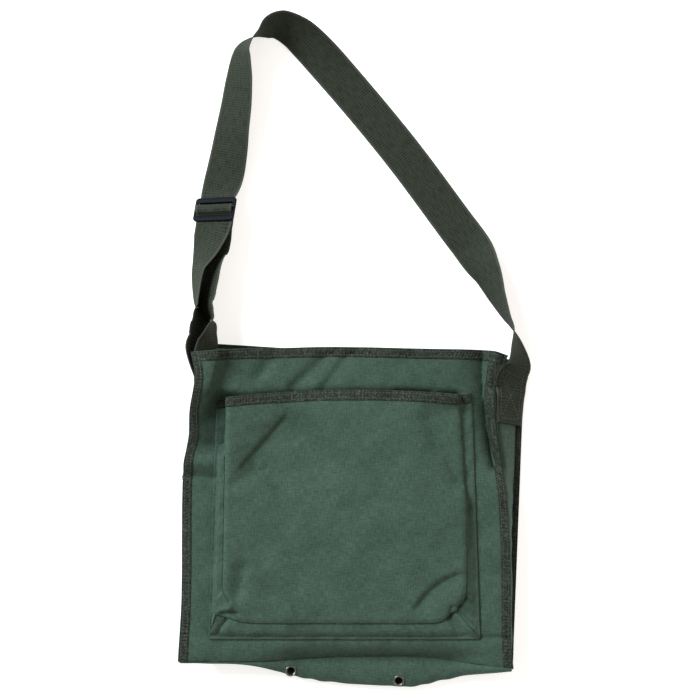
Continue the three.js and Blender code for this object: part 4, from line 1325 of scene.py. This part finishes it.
@dataclass
class Strap:
    """The shoulder strap with its slider, and the ring that a short tab holds on the left gusset."""

    left: Gusset
    right: Gusset
    end: tuple = (0.79, 0.985, 7, 0.52)
    slider_place: tuple = (-150.8, 150.7, 18.9)
    slider_turn: tuple = (1.0, 21.0, 8.0)
    slider_bars: tuple = (3.0, 6.4, 6.0)
    slider_width: float = 47.5
    bar_depth: float = 3.0
    ring_place: Pair = (-30.0, 25.4)
    ring_size: tuple = (42.2, 2.2, 6.0, 2.6)
    tab_rows: Pair = (-66.0, -54.0)
    tab_slide: float = -6.0
    tab_neck: float = 7.0
    turn_back: Pair = (-14.0, -5.0)
    end_slant: float = 6.0
    diagonal: tuple = (
        (172, 8, 20.6, 180, 72), (168, 24, 21.2, 180, 90), (161.5, 36, 21, 29, 82),
        (151.5, 58, 19.7, 25, 67), (141, 84, 15.6, 27, 46), (126, 110, 4.8, 32, 11), (107, 136, 1.9, 35, 0),
        (49, 214, 1.5, 38, 0), (-15, 291, 2, 41, 0),
    )
    peak: tuple = (
        (-50, 329, 8.2, 48, 20), (-64, 341, 12.4, 54, 33), (-82, 349, 16.3, 68, 48),
        (-94, 346, 19.8, 100, 66), (-104, 339, 21.4, 120, 90), (-114, 331, 20.9, -40, 77),
        (-121, 320, 19.2, -15, 62),
    )
    down: tuple = (
        (-125, 290, 15.7, 0, 45), (-128, 264, 13.2, -3, 36), (-132, 239, 11.4, -6, 29),
        (-136, 213, 7.6, -8, 18), (-141, 188, 6, -8, 9),
    )
    outer_layer: tuple = (
        (-158, 117, 24, 0, 36), (-168, 90, 19.8, 0, 67), (-170.6, 62, 20.7, 0, 77), (-170.4, 48, 21, 0, 83),
        (-168.8, 40, 21.1, 180, 80), (-166.7, 33, 20.5, 180, 65), (-166.4, 26, 19.7, 180, 62),
        (-168.2, 15, 19.6, 180, 63), (-172, 3, 21.5, 180, 66),
    )
    inner_layer: tuple = (
        (-158.2, 8, 22.2, 180, 62), (-156.6, 17, 22.5, 180, 72), (-154.2, 27, 24, 180, 82),
        (-154.2, 34, 24.4, 0, 80), (-157, 41, 24.4, 0, 70), (-160, 49, 23.2, 0, 62),
        (-160.2, 60, 21.6, 0, 57), (-155.5, 80, 19.6, 0, 60), (-154, 104, 15, 0, 40),
        (-152, 117, 18.4, -1, 28),
    )

    def slider(self) -> BarFrame:
        """Set the slider square to the webbing: in plan its way up leans, and it falls to stay square."""
        heading, tilt, lean = self.slider_turn
        across = across_from(heading, tilt)
        up = np.array([math.sin(math.radians(lean)), math.cos(math.radians(lean)), 0.0])
        up[2] = -(up @ across) / across[2]
        middle, outer, slot = self.slider_bars
        side = (self.slider_width - STRAP_WIDTH - 0.9) / 2
        return BarFrame(np.array(self.slider_place), across, unit(up), self.slider_width,
                        middle + 2 * (slot + outer), self.bar_depth, side, outer, 4.0)

    def woven(self, slider: BarFrame) -> tuple[list, list]:
        """Thread the webbing through the slider.

        Args:
            slider: The slider's frame.

        Returns:
            Stations of the strap on its way through, and of its sewn end round the middle bar.
        """
        middle, outer, slot = self.slider_bars
        half, edge = self.bar_depth / 2, middle / 2
        layer, behind = WEBBING + 1.5 * GAP, -half - WEBBING / 2 - GAP
        slot_end = edge + slot
        outer_bar, outer_edge = slot_end + outer / 2, slot_end + outer
        turn = math.hypot(half, edge) + WEBBING / 2 + GAP
        over = turn + layer
        slope = over * math.sqrt(0.5)
        threaded = [
            (outer_edge + 5, behind - 0.6), (outer_bar, behind - GAP / 3), (slot_end - 0.6, behind),
            (slot_end - 2.6, 0), (slope, slope), (0, over), (-slope, slope), (2.6 - slot_end, 0),
            (0.6 - slot_end, behind), (-outer_bar, behind), (-outer_edge - 5, behind + 0.2),
        ]
        under = [(-outer_edge - 6, behind - 2 * layer), (-outer_bar, behind - 2 * layer),
                 (3 - slot_end, behind - 1.7 * layer)]
        angles = np.radians([270, 315, 0, 45, 90, 135, 180])
        round_bar = list(zip(turn * np.cos(angles), turn * np.sin(angles)))
        tail = [(4.6 - slot_end, behind + 1.2 - layer / 2), (-slot_end, behind - layer),
                (-outer_bar, behind - layer), (-outer_edge - 3, behind - layer)]
        place = lambda rows: [(slider.at(along, lift), slider.across) for along, lift in rows]
        return place(threaded), place(under + round_bar + tail)

    def on_left_wall(self, y: float) -> tuple[Array, Array, Array]:
        """Find the left wall at a place in plan: a point level with the ring, its way up and its way out."""
        ends = self.left.front.middle(np.zeros(2), np.array([0.0, 1.0]))[:, 1]
        section = self.left.section(np.array([(y - ends[0]) / (ends[1] - ends[0])]))[:, 0]
        upper, lower = section[2], section[3]
        across = unit((upper - lower) * [1, 0, 1])
        out = np.array([-across[2], 0.0, across[0]])
        place = mix(lower, upper, (self.ring_place[1] - lower[2]) / (upper[2] - lower[2]))
        return np.array([place[0], y, place[2]]), across, out

    def off_left_wall(self, y: float, offset: float, slide: float = 0.0) -> tuple[Array, Array]:
        """Lay a layer of webbing on the left wall, so far off its middle."""
        place, across, out = self.on_left_wall(y)
        return place + out * offset + across * slide, across

    @property
    def tab_offset(self) -> float:
        """How far the tab's inner layer stands off the left wall's middle."""
        return CLOTH / 2 + 7 * GAP + WEBBING / 2

    def ring(self) -> BarFrame:
        """Set the ring against the left wall, leaning with it."""
        inner, wire, slot, depth = self.ring_size
        offset = self.tab_offset + WEBBING / 2 + 2 * GAP + depth / 2
        centre, across = self.off_left_wall(self.ring_place[0], offset)
        return BarFrame(centre, across, np.array([0.0, 1.0, 0.0]), inner + 2 * wire, slot + 2 * wire, depth,
                        wire, wire, 2.5)

    def round_ring(self, ring: BarFrame, way: int, slide: float = 0.0) -> list:
        """Take webbing half round one of the ring's bars, from its outer side to its inner side."""
        _, wire, slot, depth = self.ring_size
        radius = depth / 2 + WEBBING / 2 + 2 * GAP
        out = self.on_left_wall(self.ring_place[0])[2]
        angles = np.radians([90, 45, 0, -45, -90])
        bar = ring.centre + ring.up * way * (slot + wire) / 2 + ring.across * slide
        return [(bar + out * radius * math.sin(a) - ring.up * way * (radius + GAP) * math.cos(a), ring.across)
                for a in angles]

    def on_right_wall(self) -> list:
        """Lay the strap's sewn end on the right wall's flat stretch."""
        lowest, highest, rows, level = self.end
        section = self.right.section(np.linspace(lowest, highest, rows + 1))
        across = unit(section[2] - section[3])
        out = unit(vector(across[:, 2], 0.0, -across[:, 0]))
        place = mix(section[2], section[3], level) + out * (CLOTH / 2 + 5 * GAP + WEBBING / 2)
        return list(zip(place, across))

    @staticmethod
    def curve(points: Array, t: Array) -> Array:
        """Run a centripetal Catmull-Rom curve through points.

        Each span is a cubic whose end slopes come from the neighbours, weighted by the square root of the
        distances between them.

        Args:
            points: The points.
            t: Where to read, counted in points.

        Returns:
            Places on the curve.
        """
        full = np.concatenate([2 * points[:1] - points[1:2], points, 2 * points[-1:] - points[-2:-1]])
        i = np.clip(t.astype(int), 0, len(points) - 2)
        p0, p1, p2, p3 = (full[i + j] for j in range(4))
        gap = lambda a, b: np.sqrt(np.linalg.norm(b - a, axis=-1, keepdims=True))
        d0, d1, d2 = gap(p0, p1), gap(p1, p2), gap(p2, p3)
        d1 = np.where(d1 < 1e-4, 1.0, d1)
        d0, d2 = np.where(d0 < 1e-4, d1, d0), np.where(d2 < 1e-4, d1, d2)
        start = ((p1 - p0) / d0 - (p2 - p0) / (d0 + d1) + (p2 - p1) / d1) * d1
        end = ((p2 - p1) / d1 - (p3 - p1) / (d1 + d2) + (p3 - p2) / d2) * d1
        w = (t - i)[:, None]
        return (p1 + start * w + (3 * (p2 - p1) - 2 * start - end) * w ** 2
                + (2 * (p1 - p2) + start + end) * w ** 3)

    def band(self, stations: list, width: float) -> tuple[Array, Array]:
        """Carry a flat section along stations.

        The place and the way of the upper edge each follow a smooth curve through the stations, and the way
        is kept square to the curve.

        Args:
            stations: Places and ways of the upper edge.
            width: The band's width.

        Returns:
            The grid of the band's middle and its flat map.
        """
        places, ways = (np.array(column) for column in zip(*stations))
        length = np.linalg.norm(np.diff(places, axis=0), axis=1)
        counts = np.maximum(3, (length / 1.6).astype(int))
        last = len(places) - 1.0
        t = np.concatenate([i + np.arange(n) / n for i, n in enumerate(counts)] + [[last]])
        line = self.curve(places, t)
        after, before = (self.curve(places, np.clip(t + step, 0, last)) for step in (1e-3, -1e-3))
        ahead = unit(after - before)
        across = self.curve(ways, t)
        across = unit(across - ahead * np.sum(across * ahead, axis=1, keepdims=True))
        run = running_length(line)
        share = np.linspace(-0.5, 0.5, 15) * width
        middle = line[:, None] + across[:, None] * share[None, :, None]
        flat = np.stack(np.meshgrid(share, run), axis=-1)
        return middle, flat

    def build(self, finish: Finishes) -> None:
        """Build the strap, the slider, the ring and the tab, and sew the strap's end down on the right wall.
        """
        slider, ring = self.slider(), self.ring()
        threaded, sewn = self.woven(slider)
        rows = lambda table: [((x, y, z), across_from(heading, tilt)) for x, y, z, heading, tilt in table]
        stations = [
            *self.on_right_wall(), *rows(self.diagonal), *rows(self.peak), *rows(self.down), *threaded,
            *rows(self.outer_layer), *self.round_ring(ring, 1),
            *(self.off_left_wall(y, self.tab_offset) for y in self.turn_back), *rows(self.inner_layer), *sewn,
        ]
        middle, flat = self.band(stations, STRAP_WIDTH)
        middle[..., 1] += self.end_slant * flat[..., 0] / STRAP_WIDTH * eased(flat[..., 1], STRAP_WIDTH)
        strap = add_piece("strap_webbing", slab(middle, flat, WEBBING), finish.webbing,
                          ["shoulder_strap"])
        far = 2 * (self.tab_offset + WEBBING / 2 + 2 * GAP + self.ring_size[3] / 2) - self.tab_offset
        _, wire, slot, _ = self.ring_size
        tab_top = ring.centre[1] - (slot + wire) / 2 - self.tab_neck
        loop = [
            *(self.off_left_wall(y, self.tab_offset, self.tab_slide) for y in (*self.tab_rows, tab_top)),
            *self.round_ring(ring, -1, self.tab_slide)[::-1],
            *(self.off_left_wall(y, far, self.tab_slide) for y in (tab_top, self.tab_rows[1])),
        ]
        tab_middle, tab_flat = self.band(loop, TAB_WIDTH)
        tab = add_piece("ring_tab_webbing", slab(tab_middle, tab_flat, WEBBING), finish.tab,
                        ["ring_tab"])
        bars = joined([slider.frame_skin(), slider.bar_skin(self.slider_bars[0])])
        add_piece("slider_moulding", bars, finish.plastic, ["strap_slider"])
        add_piece("ring_moulding", ring.frame_skin(), finish.plastic, ["strap_ring"])
        stitches = add_piece("strap_stitches", self.sewing(middle), finish.thread)

    def sewing(self, middle: Array) -> Skin:
        """Sew the strap's end to the right wall with a box and a cross of stitches.

        Args:
            middle: The grid of the strap's middle, from its sewn end on.

        Returns:
            The stitches.
        """
        normal = grid_normals(middle)
        lines = (((3, 2), (30, 2)), ((30, 2), (30, 12)), ((30, 12), (3, 12)), ((3, 12), (3, 2)),
                 ((3, 2), (30, 12)), ((30, 2), (3, 12)))
        skins = []
        for (row0, column0), (row1, column1) in lines:
            share = np.linspace(0, 1, 40)
            row, column = mix(row0, row1, share), mix(column0, column1, share)
            i, j = row.astype(int), column.astype(int)
            step = (row - i)[:, None], (column - j)[:, None]
            place = mix(mix(middle[i, j], middle[i + 1, j], step[0]),
                        mix(middle[i, j + 1], middle[i + 1, j + 1], step[0]), step[1])
            out = normal[i, j] * np.sign(normal[i, j, :1])
            skins.append(StitchRow().skin(place + out * (WEBBING / 2 + 0.1), out))
        return joined(skins)


@dataclass
class Stage:
    """The pale floor, the soft studio light from the upper left, and the camera straight above."""

    camera: tuple = (-6.0, 0.0, 2400.0)
    focal: float = 114.3
    sun: float = 4.0
    sun_turn: tuple = (52.0, 0.0, 230.0)
    sun_angle: float = 26.0
    fill: float = 0.38
    side_fill: float = 0.62
    side_turn: tuple = (58.0, 0.0, 105.0)
    mottle: float = 1000 / 3
    glow: float = 0.64
    floor_reach: float = 4000.0
    floor_level: float = -0.2

    def build(self) -> None:
        """Build the floor, the lights and the camera."""
        scene = bpy.context.scene
        scene.view_settings.view_transform = "Standard"
        self.floor()
        self.lamp("key", self.sun, self.sun_turn, self.sun_angle, "#F3FCFF")
        self.lamp("side_fill", self.side_fill, self.side_turn, 2 * self.sun_angle, "#FFF0DC")
        world = scene.world or bpy.data.worlds.new("studio")
        scene.world = world
        world.use_nodes = True
        sky = world.node_tree.nodes["Background"]
        sky.inputs["Color"].default_value = hex_colour("#FFF4EA")
        sky.inputs["Strength"].default_value = self.fill
        lens = bpy.data.cameras.new("camera")
        lens.lens, lens.sensor_width = self.focal, 36.0
        camera = bpy.data.objects.new("camera", lens)
        camera.location = [value * MM for value in self.camera]
        scene.collection.objects.link(camera)
        scene.camera = camera

    @staticmethod
    def lamp(name: str, energy: float, turn: tuple, angle: float, colour: str) -> None:
        """Hang a wide soft lamp.

        Args:
            name: The lamp's name.
            energy: Its strength.
            turn: The way it points, as three turns in degrees.
            angle: How wide it looks, in degrees.
            colour: Its colour.
        """
        lamp = bpy.data.lights.new(name, "SUN")
        lamp.energy, lamp.angle, lamp.color = energy, math.radians(angle), hex_colour(colour)[:3]
        thing = bpy.data.objects.new(name, lamp)
        thing.rotation_euler = [math.radians(part) for part in turn]
        bpy.context.scene.collection.objects.link(thing)

    def floor(self) -> None:
        """Build a pale paper floor, faintly mottled, and glowing a little so that it stays near white."""
        material, tree, shader = new_material("pale_paper")
        paint(tree, shader, object_noise(tree, self.mottle), hex_colour("#FAFAFA"), hex_colour("#F6F6F6"))
        set_inputs(shader, {"Roughness": 0.9, "Emission Color": (1.0, 1.0, 1.0, 1.0),
                            "Emission Strength": self.glow})
        ends = (-self.floor_reach, self.floor_reach)
        places = vector(*grid(9, 9, ends, ends), self.floor_level) * MM
        mesh = bpy.data.meshes.new("floor")
        mesh.from_pydata(places.reshape(-1, 3).tolist(), [], quads_of(9, 9).reshape(-1, 4).tolist())
        mesh.materials.append(material)
        floor = bpy.data.objects.new("floor", mesh)
        bpy.context.scene.collection.objects.link(floor)
        floor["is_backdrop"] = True


def write_sizes() -> None:
    """Turn the CAD box and the dressed bag's box into plain lists; nothing is kept or written."""
    plain = lambda box: [[float(value) for value in corner] for corner in box]
    {"cad": plain(CAD_BOX), "visual": plain(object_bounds())}


def main() -> None:
    """Build the bag's sub-assemblies in order, then the stage."""
    logging.basicConfig(level=logging.INFO, format="%(message)s")
    finish = Finishes.make()
    Stage().build()
    front, back = FrontPanel(), BackPanel()
    bottom = BottomPanel(front, back)
    left, right = (Gusset(side, front, back, bottom) for side in Side)
    back.build(finish)
    bottom.build(finish)
    for gusset in (left, right):
        gusset.build(finish)
    front.build(finish)
    Pocket(front).build(finish)
    Strap(left, right).build(finish)
    write_sizes()


if __name__ == "__main__":
    main()
